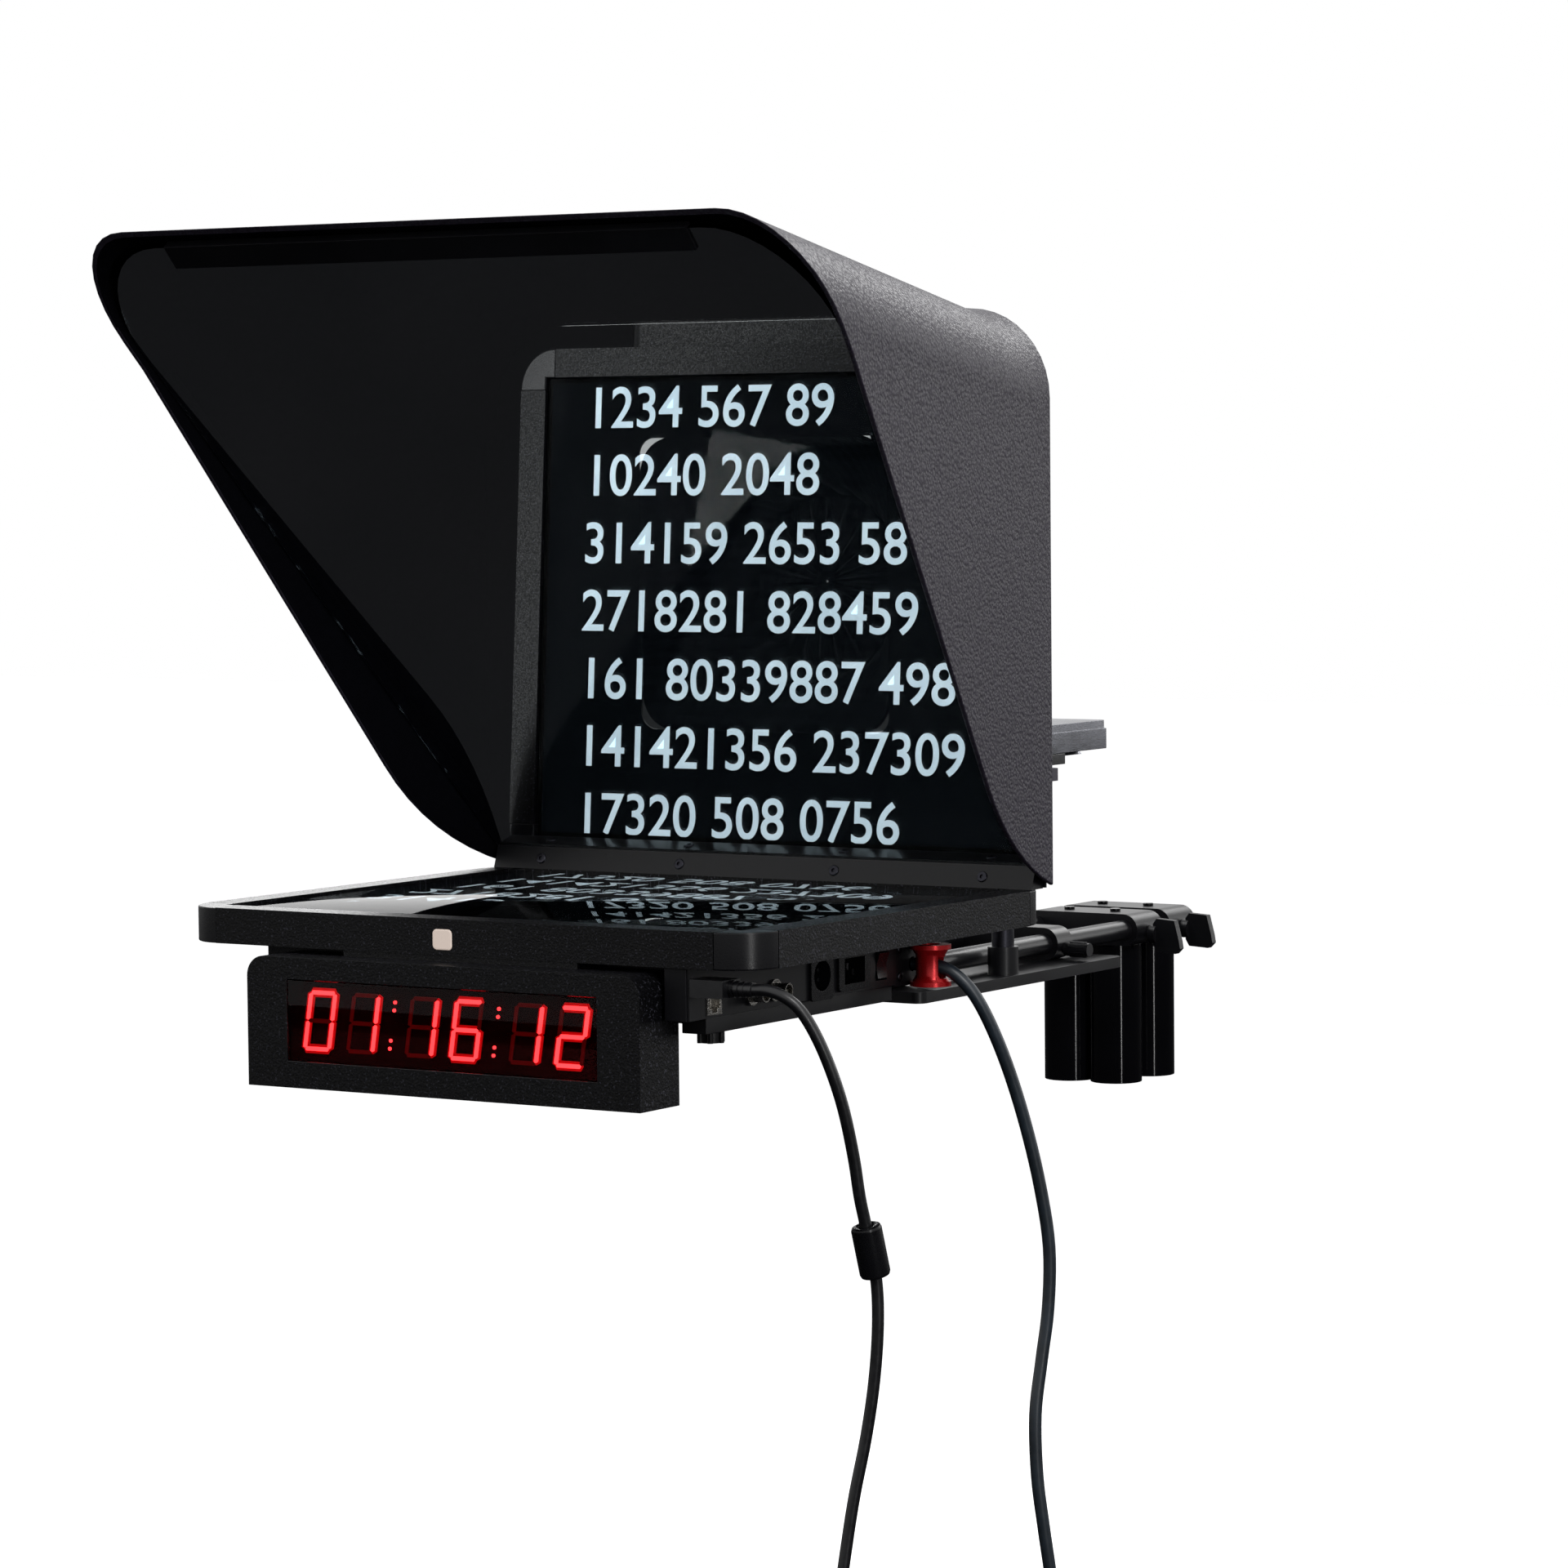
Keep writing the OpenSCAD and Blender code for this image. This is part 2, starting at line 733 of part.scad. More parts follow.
// One bar of a slanted seven-segment digit, pointed at both ends, about a centre point.
module segment_bar(centre, length, w, upright) {
    along = upright ? [0, 1] : [1, 0];
    across = upright ? [1, 0] : [0, 1];
    corners = [[-length / 2, 0], [-length / 2 + w / 2, w / 2], [length / 2 - w / 2, w / 2],
               [length / 2, 0], [length / 2 - w / 2, -w / 2], [-length / 2 + w / 2, -w / 2]];
    polygon([for (c = corners)
        let (p = centre + c[0] * along + c[1] * across) [p[0] + digit_slant * p[1], p[1]]]);
}

module digit(h) {
    w = 0.13 * h;
    half = h / 2 - w / 2;
    span = 0.5 * h - w / 2;
    for (z = [-half, 0, half]) segment_bar([0, z], span, w, false);
    for (x = [-span / 2, span / 2], z = [-half / 2, half / 2])
        segment_bar([x, z], half, w, true);
}

digit_slant = 0.16;
digit_pitch = 34;
colon_gap = 11.5;
digit_xs = [for (i = [0 : 5]) (i - 2.5) * digit_pitch + (floor(i / 2) - 1) * colon_gap];
colon_xs = [-(digit_pitch + colon_gap / 2), digit_pitch + colon_gap / 2];

// Display board: six slanted seven-segment digits and two colons.
module clock_display() {
    y0 = clock_y0 + clock_wall + board_depth;
    color("#7a0a10") on_deck() {
        translate([0, y0 + 1, window_z]) cube([2 * board_post_x + 8, 2, window_h + 12], center = true);
        translate([0, y0, window_z]) rotate([90, 0, 0]) linear_extrude(1.2) {
            for (x = digit_xs) translate([x, 0]) digit(digit_h);
            for (x = colon_xs, z = [-10, -6, 6, 10]) translate([x + digit_slant * z, z]) circle(1.2);
        }
    }
}

// ---- Cable outlet ----

cable_y = 268;
cable_z = -44;
holder_x = box_half + 13.5;

module cable_block() {
    color("#121214") on_deck() difference() {
        box([120, box_y1, -57], [box_half, 293, -monitor_h]);
        translate([130, cable_y, cable_z]) rotate([0, 90, 0]) cylinder(d = mains_d + 1, h = 60);
        for (z = [-33, -51]) translate([box_half - 10, 252, z]) rotate([0, 90, 0])
            cylinder(r = 2, h = 20);
    }
}

// Spool-shaped holder: flanged ends, a waist, and a window that the cord passes out of.
module cable_holder() {
    h = 27;
    color("#d8141a") on_deck() translate([holder_x, cable_y, cable_z]) difference() {
        union() {
            translate([0, 0, -h / 2]) cylinder(r = 13.5, h = 3);
            translate([0, 0, h / 2 - 3]) cylinder(r = 13.5, h = 3);
            translate([0, 0, -h / 2 + 3]) cylinder(r1 = 12, r2 = 9.6, h = 4);
            translate([0, 0, h / 2 - 7]) cylinder(r1 = 9.6, r2 = 12, h = 4);
            translate([0, 0, -h / 2]) cylinder(r = 9.6, h = h);
        }
        translate([0, 0, -h / 2 - 1]) cylinder(r = 7, h = h + 2);
        translate([-20, 0, 0]) rotate([0, 90, 0]) cylinder(d = mains_d + 0.8, h = 16);
        rotate(14) box([3, -6.5, -8.5], [20, 6.5, 5.5]);
    }
}

// ---- Glass, hood and rear panel ----

// Local frame of the glass: y up its slope, z out of its front face.
module on_glass() {
    on_deck() translate([0, glass_y, glass_z]) rotate([180 - glass_tilt, 0, 0]) children();
}

// Half width of the hood's inside at a point up the glass.
function inner_half(u) =
    hood_w / 2 - hood_t + hood_flare * (hood_y - glass_y + glass_cos * u);

module glass_outline() {
    corner_w = 62;
    corner_len = 82;
    edge = 1.5;
    w0 = inner_half(0) - edge;
    w1 = inner_half(glass_len - corner_len) - edge;
    right = [for (a = [0 : 9 : 90])
        [w1 - corner_w + corner_w * cos(a), glass_len - corner_len + corner_len * sin(a)]];
    left = [for (i = [len(right) - 1 : -1 : 0]) [-right[i][0], right[i][1]]];
    polygon(concat([[w0, 0]], right, left, [[-w0, 0]]));
}

module beam_glass() {
    color("#8fa3ad", 0.35) on_glass() translate([0, 0, -glass_t])
        linear_extrude(glass_t) glass_outline();
}

module top_strip() {
    color("#3c3c42") on_glass() difference() {
        box([-strip_half, glass_len - 16, -glass_t - 1], [strip_half, glass_len + 2, 2]);
        box([-strip_half - 1, glass_len - 17, -glass_t - 0.02], [strip_half + 1, glass_len + 0.02, 0.02]);
    }
}

// Bars behind the glass's side edges, and the posts that carry the hood and the rear panel.
module hood_frame() {
    u0 = 40;
    u1 = 450;
    post_d = 12;
    post_x = 184;
    outer = function(y) hood_w / 2 - hood_t - gap + hood_flare * (hood_y - y);
    color("#151517") {
        on_glass() for (s = [-1, 1]) scale([s, 1, 1])
            translate([0, 0, -glass_t - 5]) linear_extrude(4.98)
                polygon([[inner_half(u0) - 10, u0], [inner_half(u0) - 2, u0],
                         [inner_half(u1) - 2, u1], [inner_half(u1) - 10, u1]]);
        on_deck() for (s = [-1, 1]) scale([s, 1, 1]) difference() {
            translate([0, 0, 40]) linear_extrude(260)
                polygon([[post_x, panel_y], [outer(panel_y), panel_y],
                         [outer(panel_y - post_d), panel_y - post_d], [post_x, panel_y - post_d]]);
            for (z = side_screw_zs) translate([side_screw_x, panel_y - 10, z]) rotate([-90, 0, 0])
                cylinder(r = 2, h = 20);
        }
    }
}

bar_half = hood_w / 2 - hood_t - 2;
bar_h = 15.2;
bar_lean = 5.4;
bar_screw_z = 7.2;
bar_screw_xs = [-178, -62.5, 62.5, 178];

module at_bar_screws() {
    for (x = bar_screw_xs)
        translate([x, bar_y - 1 + bar_lean * bar_screw_z / bar_h, bar_screw_z])
            rotate([atan2(bar_h, bar_lean), 0, 0]) children();
}

// Extruded bar on the monitor's rear rail that carries the glass's lower edge.
module glass_bar() {
    y = bar_y;
    color("#2a2a2e") on_deck() difference() {
        along_x(-bar_half, 2 * bar_half) polygon([
            [y - 1, 0], [y + 14, 0], [y + 14, glass_z + 2],
            [glass_y + glass_t * glass_sin, glass_z + glass_t * glass_cos],
            [glass_y, glass_z],
            [glass_y - 6 * glass_cos, glass_z + 6 * glass_sin],
            [y - 1 + bar_lean, bar_h]
        ]);
        at_bar_screws() translate([0, 0, -5]) cylinder(r = 2, h = 8);
        at_panel_screws() rotate([90, 0, 0]) cylinder(r = 2, h = 5.5);
    }
}

side_screw_x = 194;
side_screw_zs = [56, 168, 290];

module at_panel_screws() {
    for (x = [-side_screw_x, side_screw_x], z = side_screw_zs) translate([x, panel_y + 2, z]) children();
    for (x = [-110, 110]) translate([x, panel_y + 2, 7]) children();
}

// Button-head screws of the bar, the rear panel and the cable block.
module screws() {
    color("#3a3a3d") on_deck() {
        at_bar_screws() {
            cylinder(r = 3.8, h = 2.2);
            translate([0, 0, -4.5]) cylinder(r = 2, h = 5);
        }
        at_panel_screws() rotate([-90, 0, 0]) {
            cylinder(r = 4, h = 1.8);
            translate([0, 0, -5]) cylinder(r = 2, h = 5);
        }
        for (z = [-33, -51]) translate([box_half, 252, z]) rotate([0, 90, 0]) {
            cylinder(r = 3.2, h = 2);
            translate([0, 0, -8]) cylinder(r = 2, h = 8);
        }
    }
}

// Sheet panel that closes the hood's rear, with the opening for the lens.
module rear_panel() {
    half = hood_w / 2 - hood_t - gap;
    top = hood_h - hood_t - gap;
    r = hood_r - hood_t;
    color("#1e1e21") on_deck() difference() {
        along_y(panel_y, 2) {
            translate([-half, 0.5]) square([2 * half, top - r - 0.5]);
            translate([-half + r, 0.5]) square([2 * (half - r), top - 0.5]);
            for (s = [-1, 1]) translate([s * (half - r), top - r]) circle(r);
        }
        along_y(panel_y - 1, 4) translate([0, lens_z]) round_rect(lens_open, lens_open, 12);
        at_panel_screws() rotate([90, 0, 0]) translate([0, 0, -1]) cylinder(r = 2, h = 6);
    }
}

// Thin cross-section of the hood at a distance q ahead of its rear edge.
module hood_slice(q, inset) {
    half = hood_w / 2 + hood_flare * q - inset;
    top = hood_h + roof_slope * max(0, q - hood_flat) - inset;
    r = hood_r - inset;
    translate([0, hood_y - q, 0]) rotate([90, 0, 0]) linear_extrude(0.01) {
        translate([-half, -20]) square([2 * half, top - r + 20]);
        translate([-half + r, -20]) square([2 * (half - r), top + 20]);
        for (s = [-1, 1]) translate([s * (half - r), top - r]) circle(r, $fn = 40);
    }
}

module hood_solid(inset, q0, q1) {
    hull() {
        hood_slice(q0, inset);
        hood_slice(hood_flat, inset);
    }
    hull() {
        hood_slice(hood_flat, inset);
        hood_slice(q1, inset);
    }
}

function bezier(a, b, c, t) = (1 - t) * (1 - t) * a + 2 * t * (1 - t) * b + t * t * c;

// Side view of the space behind the rim: [y, z] from the monitor's front top edge.
module rim_side() {
    rear = [hood_y + 1, 1.5];
    bend = [hood_y - 74.6, 23];
    knee = [hood_y - 115.5, 76];
    high = [hood_y - 326.5, 346];
    top = [hood_y - hood_len, hood_h + hood_rise];
    lower = [for (t = [0 : 0.125 : 1]) bezier(rear, bend, knee, t)];
    polygon(concat(lower, [high, top, [top[0], 600], [hood_y + 2, 600]]));
}

module hood() {
    color("#57565c") on_deck() intersection() {
        difference() {
            hood_solid(0, 0, hood_len + 8);
            hood_solid(hood_t, -2, hood_len + 12);
        }
        along_x(-400, 800) rim_side();
    }
}

module sleeve_solid(inset, y0, y1) {
    hull() {
        along_y(y0, 0.01) translate([0, lens_z]) round_rect(lens_open + 8 - 2 * inset, lens_open + 8 - 2 * inset, 12, $fn = 32);
        translate([0, y1, lens_z]) rotate([-90, 0, 0]) cylinder(d = sleeve_d - 2 * inset, h = 0.01, $fn = 32);
    }
}

// Cloth sleeve from the rear panel to the lens.
module lens_shroud() {
    y0 = panel_y + 2.3;
    color("#101012") on_deck() difference() {
        sleeve_solid(0, y0, y0 + sleeve_len);
        sleeve_solid(2, y0 - 0.1, y0 + sleeve_len + 0.1);
    }
}

// ---- Cords ----

function unit(v) = v / norm(v);

function route_dir(route, i) =
    unit(route[min(i + 1, len(route) - 1)] - route[max(i - 1, 0)]);

// Tube of eight sides swept along a route, with one ring per point.
module cord_tube(route, d) {
    sides = 8;
    rings = len(route);
    function ring_point(i, k) =
        let (t = route_dir(route, i),
             a = unit(cross(t, [0, 1, 0.01])),
             b = cross(t, a),
             angle = 360 * k / sides)
        route[i] + d / 2 * (cos(angle) * a + sin(angle) * b);
    points = [for (i = [0 : rings - 1], k = [0 : sides - 1]) ring_point(i, k)];
    walls = [for (i = [0 : rings - 2], k = [0 : sides - 1])
        let (n = (k + 1) % sides) [i * sides + k, i * sides + n, (i + 1) * sides + n, (i + 1) * sides + k]];
    first = [for (k = [sides - 1 : -1 : 0]) k];
    last = [for (k = [0 : sides - 1]) (rings - 1) * sides + k];
    polyhedron(points, concat([first], walls, [last]));
}

// Centre of the coil that hangs below a cord's last point.
function coil_centre(top, radius) = top - [0, 0, 1.7 * radius];

// The cord's bend from its last point into the coil, and its end that hangs from the coil.
function coil_lead(top, radius) =
    let (c = coil_centre(top, radius), a = radius / sqrt(2))
    [top, c + [0.08 * radius, 0, 1.36 * radius], c + [0.3 * radius, 0, 1.12 * radius], c + [a, 0, a]];
function coil_tail(top, radius, d) =
    let (c = coil_centre(top, radius) + [radius, coil_turns * d, 0])
    [c - [0, 0, 25], c - [0, 0, tail_len]];

// Outer shape of a round coil with its axis along Y, starting at a cord's place.
module coil_solid(top, radius, d) {
    translate(coil_centre(top, radius)) rotate([-90, 0, 0]) rotate_extrude()
        translate([radius - d / 2, -d / 2]) square([d, (coil_turns + 1) * d]);
}

// Moulded video plug along +X from its collar at x = 0.
module data_plug() {
    translate([-5.5, -6.9, -2.2]) cube([6, 13.8, 4.4]);
    translate([0, -10, -5.5]) cube([24, 20, 11]);
    for (i = [0 : 3]) translate([24 + i * 4, 0, 0]) rotate([0, 90, 0]) cylinder(r = 5.4 - i * 0.3, h = 2.6);
    translate([24, 0, 0]) rotate([0, 90, 0]) cylinder(r = 4.4, h = plug_len - 24);
}

plug_len = 40;
video_x0 = panel_x + panel_t + 0.8;
video_start = [video_x0 + plug_len, video_place[0] - front_reach, video_place[1] + deck_z];
video_top = video_route[len(video_route) - 1];
mains_top = mains_route[len(mains_route) - 1];

module video_plug() {
    color("#0d0d0f") on_deck() translate([video_x0, video_place[0], video_place[1]]) data_plug();
}

module video_cord() {
    color("#0d0d0f") {
        cord_tube(concat([video_start], video_route, coil_lead(video_top, video_coil_r)), video_d);
        cord_tube(coil_tail(video_top, video_coil_r, video_d), video_d);
    }
}

// Ferrite bead clipped around the video cord.
module ferrite_bead() {
    a = video_route[ferrite_index];
    b = video_route[ferrite_index + 1];
    t = b - a;
    color("#111113") translate(a)
        rotate([0, acos(t[2] / norm(t)), atan2(t[1], t[0])]) difference() {
            cylinder(d = 19, h = norm(t));
            translate([0, 0, -1]) cylinder(d = video_d + 0.8, h = norm(t) + 2);
        }
}

module video_coil() {
    color("#0d0d0f") coil_solid(video_top, video_coil_r, video_d);
}

module video_end_plug() {
    end = coil_tail(video_top, video_coil_r, video_d)[1];
    color("#0d0d0f") translate(end - [0, 0, plug_len]) rotate([0, -90, 0]) data_plug();
}

module mains_cord() {
    color("#39424a") {
        cord_tube(concat(mains_route, coil_lead(mains_top, mains_coil_r)), mains_d);
        cord_tube(coil_tail(mains_top, mains_coil_r, mains_d), mains_d);
    }
}

module mains_coil() {
    color("#39424a") coil_solid(mains_top, mains_coil_r, mains_d);
}

// Two-pin mains plug at the cord's lower end, pins down.
module mains_plug() {
    end = coil_tail(mains_top, mains_coil_r, mains_d)[1];
    color("#111113") translate(end) rotate([180, 0, 0]) {
        cylinder(r1 = 5, r2 = 8, h = 16);
        translate([0, 0, 16]) cylinder(r = 19, h = 24);
        for (s = [-1, 1]) translate([0, s * 9.5, 40]) cylinder(r = 2.4, h = 19);
    }
}

base_plate();
base_clamps();
rods();
rod_caps();
riser_columns();
base_knob_front();
base_knob_rear();
riser_head();
rail_clamp();
riser_knob_right();
riser_knob_left();
rail_lever();
camera_plate();
camera_screw();
weight_block_front();
weights_front();
wing_knob_front();
weight_block_rear();
weights_rear();
wing_knob_rear();
carriage_plate();
carriage_clamps();
carriage_knob_front();
carriage_knob_rear();
back_tray();
frame_rails();
corner_caps();
lcd_panel();
tally_lamp();
signal_box();
connector_panel();
electronics();
data_jacks();
bnc_jacks();
xlr_inlet();
mains_inlet();
power_switch();
clock_housing();
clock_back();
clock_window();
clock_display();
cable_block();
cable_holder();
glass_bar();
screws();
beam_glass();
top_strip();
hood_frame();
rear_panel();
hood();
lens_shroud();
video_plug();
video_cord();
ferrite_bead();
video_coil();
video_end_plug();
mains_cord();
mains_coil();
mains_plug();
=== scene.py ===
"""Dresses the studio teleprompter: coatings, beam-splitter glass, lit displays, cloth and cords."""
import json
import math

import bpy
from mathutils import Matrix, Vector


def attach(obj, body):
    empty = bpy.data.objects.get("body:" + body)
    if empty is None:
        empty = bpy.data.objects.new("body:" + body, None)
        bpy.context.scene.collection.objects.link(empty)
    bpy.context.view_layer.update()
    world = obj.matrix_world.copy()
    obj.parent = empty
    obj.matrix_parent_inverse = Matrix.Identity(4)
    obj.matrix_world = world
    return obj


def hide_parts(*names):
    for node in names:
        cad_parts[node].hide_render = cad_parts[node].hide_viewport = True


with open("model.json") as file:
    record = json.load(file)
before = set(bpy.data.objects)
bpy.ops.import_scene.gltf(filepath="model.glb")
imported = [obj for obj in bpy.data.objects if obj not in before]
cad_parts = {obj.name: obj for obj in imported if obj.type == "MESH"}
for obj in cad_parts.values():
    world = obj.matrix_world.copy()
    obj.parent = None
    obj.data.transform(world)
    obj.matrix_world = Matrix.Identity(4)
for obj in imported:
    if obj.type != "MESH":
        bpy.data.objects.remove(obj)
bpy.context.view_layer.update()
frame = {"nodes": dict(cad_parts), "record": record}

MM = 0.001
WHITE = "#ffffff"


# ---------------------------------------------------------------- camera and cords

# Metres, degrees (yaw, pitch and roll) and millimetres.
CAMERA_PLACE = (1.87535, -3.05985, 0.38009)
CAMERA_ANGLES = (32.5225, 3.7133, -0.5678)
CAMERA_LENS = 117.21


def place_camera():
    """The camera at its place, turned by its yaw, pitch and roll."""
    yaw, pitch, roll = (math.radians(angle) for angle in CAMERA_ANGLES)
    back = Vector((math.sin(yaw) * math.cos(pitch), -math.cos(yaw) * math.cos(pitch), math.sin(pitch)))
    right = Vector((math.cos(yaw), math.sin(yaw), 0))
    up = back.cross(right)
    rolled_right = math.cos(roll) * right + math.sin(roll) * up
    rolled_up = math.cos(roll) * up - math.sin(roll) * right
    turn = Matrix((rolled_right, rolled_up, back)).transposed()
    bpy.ops.object.camera_add(location=CAMERA_PLACE, rotation=turn.to_euler())
    camera = bpy.context.object
    camera.data.lens = CAMERA_LENS
    camera.data.sensor_width = 36
    camera.data.clip_end = 60
    bpy.context.scene.camera = camera


place_camera()

# Thickness of each cord, radius of its coil and its route from the exit to the coil, in millimetres.
VIDEO_D = 7.5
VIDEO_COIL_R = 38
VIDEO_START = [212.4, -488, 57]
VIDEO_ROUTE = [
    [223, -488, 57], [233, -487, 54], [242, -483, 46], [249, -477, 31], [255, -470, 10],
    [259, -462, -15], [261, -454, -45], [262, -449, -70], [263, -444, -88], [265, -436, -120],
    [265, -434, -150], [262, -434, -185], [257, -436, -220], [251, -440, -255], [247, -443, -285],
    [244, -446, -315], [243, -447, -345], [243, -447, -370],
]
MAINS_D = 8.5
MAINS_COIL_R = 48
MAINS_ROUTE = [
    [171, -232, 48], [184, -232, 48], [193, -230, 46], [202, -227, 40], [211, -222, 28],
    [218, -213, 7], [224, -201, -23], [230, -190, -60], [235, -181, -100], [238, -175, -140],
    [237, -175, -180], [234, -179, -215], [232, -184, -250], [233, -184, -290],
    [236, -181, -325], [239, -177, -360], [240, -175, -390], [240, -175, -420],
]
COIL_TURNS = 4.125
STEPS_PER_TURN = 40
# How far a coil's middle hangs below the end of its route, in coil radii.
COIL_DROP = 1.7
TAIL_LEN = 62


def through(points, pieces):
    """A smooth line through points, with this many pieces between each two."""
    line = [Vector(p) for p in points]
    ends = [2 * line[0] - line[1]] + line + [2 * line[-1] - line[-2]]
    made = []
    for a, b, c, d in zip(ends, ends[1:], ends[2:], ends[3:]):
        for step in range(pieces):
            t = step / pieces
            made.append(0.5 * ((2 * b) + (c - a) * t + (2 * a - 5 * b + 4 * c - d) * t * t
                               + (3 * b - a - 3 * c + d) * t ** 3))
    return made + [line[-1]]


def coiled(route, radius, diameter):
    """The cord's whole line: its route, the turns of its coil and the end that hangs from it."""
    top = Vector(route[-1])
    centre = top - Vector((0, 0, COIL_DROP * radius))
    lead = [centre + radius * Vector((0.08, 0, 1.36)), centre + radius * Vector((0.3, 0, 1.12))]
    first = centre + radius * Vector((math.sqrt(0.5), 0, math.sqrt(0.5)))
    line = through(list(route) + lead + [first], 5)[:-1]
    steps = round(COIL_TURNS * STEPS_PER_TURN)
    for step in range(steps + 1):
        turns = COIL_TURNS * step / steps
        angle = math.pi / 4 - 2 * math.pi * turns
        line.append(centre + Vector((radius * math.cos(angle), turns * diameter, radius * math.sin(angle))))
    last = line[-1]
    return line + [last - Vector((0, 0, TAIL_LEN * share)) for share in (0.25, 0.5, 0.75, 1)]


def make_cord(name, line, diameter):
    """A round cord along a line, as a curve of one open spline."""
    curve = bpy.data.curves.new(name, "CURVE")
    curve.dimensions = "3D"
    curve.bevel_depth = diameter / 2 * MM
    curve.bevel_resolution = 5
    curve.use_fill_caps = True
    spline = curve.splines.new("POLY")
    spline.points.add(len(line) - 1)
    for point, place in zip(spline.points, line):
        point.co = (*(place * MM), 1)
    spline.use_smooth = True
    cord = bpy.data.objects.new(name, curve)
    bpy.context.collection.objects.link(cord)
    return cord


video_line = coiled([VIDEO_START] + VIDEO_ROUTE, VIDEO_COIL_R, VIDEO_D)
mains_line = coiled(MAINS_ROUTE, MAINS_COIL_R, MAINS_D)
video_lead = make_cord("video_lead", video_line, VIDEO_D)
mains_lead = make_cord("mains_lead", mains_line, MAINS_D)


# ---------------------------------------------------------------- materials

def linear(code):
    """Linear colour of an sRGB hex code."""
    parts = [int(code[i:i + 2], 16) / 255 for i in (1, 3, 5)]
    return tuple(p / 12.92 if p <= 0.04045 else ((p + 0.055) / 1.055) ** 2.4 for p in parts) + (1,)


def add_node(tree, kind, settings=None, inputs=None):
    """Adds a node with its settings; an input is a value or the socket that it is linked to."""
    made = tree.nodes.new(kind)
    for name, value in (settings or {}).items():
        setattr(made, name, value)
    for name, value in (inputs or {}).items():
        if isinstance(value, bpy.types.NodeSocket):
            tree.links.new(value, made.inputs[name])
        else:
            made.inputs[name].default_value = value
    return made


def start_material(name, **shader_values):
    """A new material: its tree, its shader and its object coordinates in metres."""
    made = bpy.data.materials.new(name)
    made.use_nodes = True
    tree = made.node_tree
    shader = tree.nodes["Principled BSDF"]
    for key, value in shader_values.items():
        shader.inputs[key.replace("_", " ")].default_value = value
    place = add_node(tree, "ShaderNodeTexCoord").outputs["Object"]
    return made, tree, shader, place


def vary(tree, pattern, low, high):
    """A number that runs from low to high with a pattern."""
    return add_node(tree, "ShaderNodeMapRange", None, {
        "Value": pattern, "From Min": 0.3, "From Max": 0.7, "To Min": low, "To Max": high}).outputs["Result"]


def two_colours(tree, pattern, dark, light, start=0.35, end=0.65):
    """A colour that runs from dark to light where the pattern goes from start to end."""
    ramp = add_node(tree, "ShaderNodeValToRGB", None, {"Fac": pattern})
    ramp.color_ramp.elements[0].position = start
    ramp.color_ramp.elements[0].color = linear(dark)
    ramp.color_ramp.elements[1].position = end
    ramp.color_ramp.elements[1].color = linear(light)
    return ramp.outputs["Color"]


def noise(tree, place, size_mm, detail=3.0, rough=0.5):
    """Irregular grain of about this size."""
    return add_node(tree, "ShaderNodeTexNoise", None, {
        "Vector": place, "Scale": 1 / (size_mm * MM), "Detail": detail, "Roughness": rough}).outputs["Fac"]


def cells(tree, place, size_mm, smooth=0.4):
    """Rounded cells of about this size."""
    return add_node(tree, "ShaderNodeTexVoronoi", {"feature": "SMOOTH_F1"}, {
        "Vector": place, "Scale": 1 / (size_mm * MM), "Smoothness": smooth}).outputs["Distance"]


def raise_surface(tree, shader, height, depth_mm, strength=1.0):
    """Lifts the surface where the pattern is high."""
    bump = add_node(tree, "ShaderNodeBump", None, {
        "Height": height, "Distance": depth_mm * MM, "Strength": strength})
    tree.links.new(bump.outputs["Normal"], shader.inputs["Normal"])


def mix_patterns(tree, first, second, share):
    """Two patterns mixed, the second by its share."""
    return add_node(tree, "ShaderNodeMix", None, {
        "Factor": share, "A": first, "B": second}).outputs["Result"]


def plain_finish(name, dark, light, roughness, spread, grain_mm, depth_mm, metallic=0.0, **more):
    """A finish with a fine grain that stirs its colour, gloss and surface a little."""
    made, tree, shader, place = start_material(name, Metallic=metallic, **more)
    grain = noise(tree, place, grain_mm)
    broad = noise(tree, place, 60, 2)
    tree.links.new(two_colours(tree, broad, dark, light), shader.inputs["Base Color"])
    tree.links.new(vary(tree, mix_patterns(tree, grain, broad, 0.4), roughness - spread, roughness + spread),
                   shader.inputs["Roughness"])
    raise_surface(tree, shader, grain, depth_mm)
    return made


def leather_grain_abs():
    """Moulded ABS with a leather grain: soft pebbles about 2 mm apart, dull with a faint sheen."""
    made, tree, shader, place = start_material("leather_grain_abs", Specular_IOR_Level=0.3)
    pebbles = cells(tree, place, 2.4, 0.5)
    creases = noise(tree, place, 3.6, 4, 0.65)
    height = mix_patterns(tree, pebbles, creases, 0.35)
    tree.links.new(two_colours(tree, creases, "#221e28", "#2e2936"), shader.inputs["Base Color"])
    tree.links.new(vary(tree, pebbles, 0.44, 0.6), shader.inputs["Roughness"])
    raise_surface(tree, shader, height, 0.7, 0.9)
    return made


def flocked_inside():
    """Matt black lining: swallows light, with only a trace of nap."""
    made, tree, shader, place = start_material("flocked_inside", Specular_IOR_Level=0.0)
    nap = noise(tree, place, 0.9)
    tree.links.new(two_colours(tree, nap, "#0b0b0f", "#101015"), shader.inputs["Base Color"])
    tree.links.new(vary(tree, nap, 0.8, 0.95), shader.inputs["Roughness"])
    raise_surface(tree, shader, nap, 0.1)
    return made


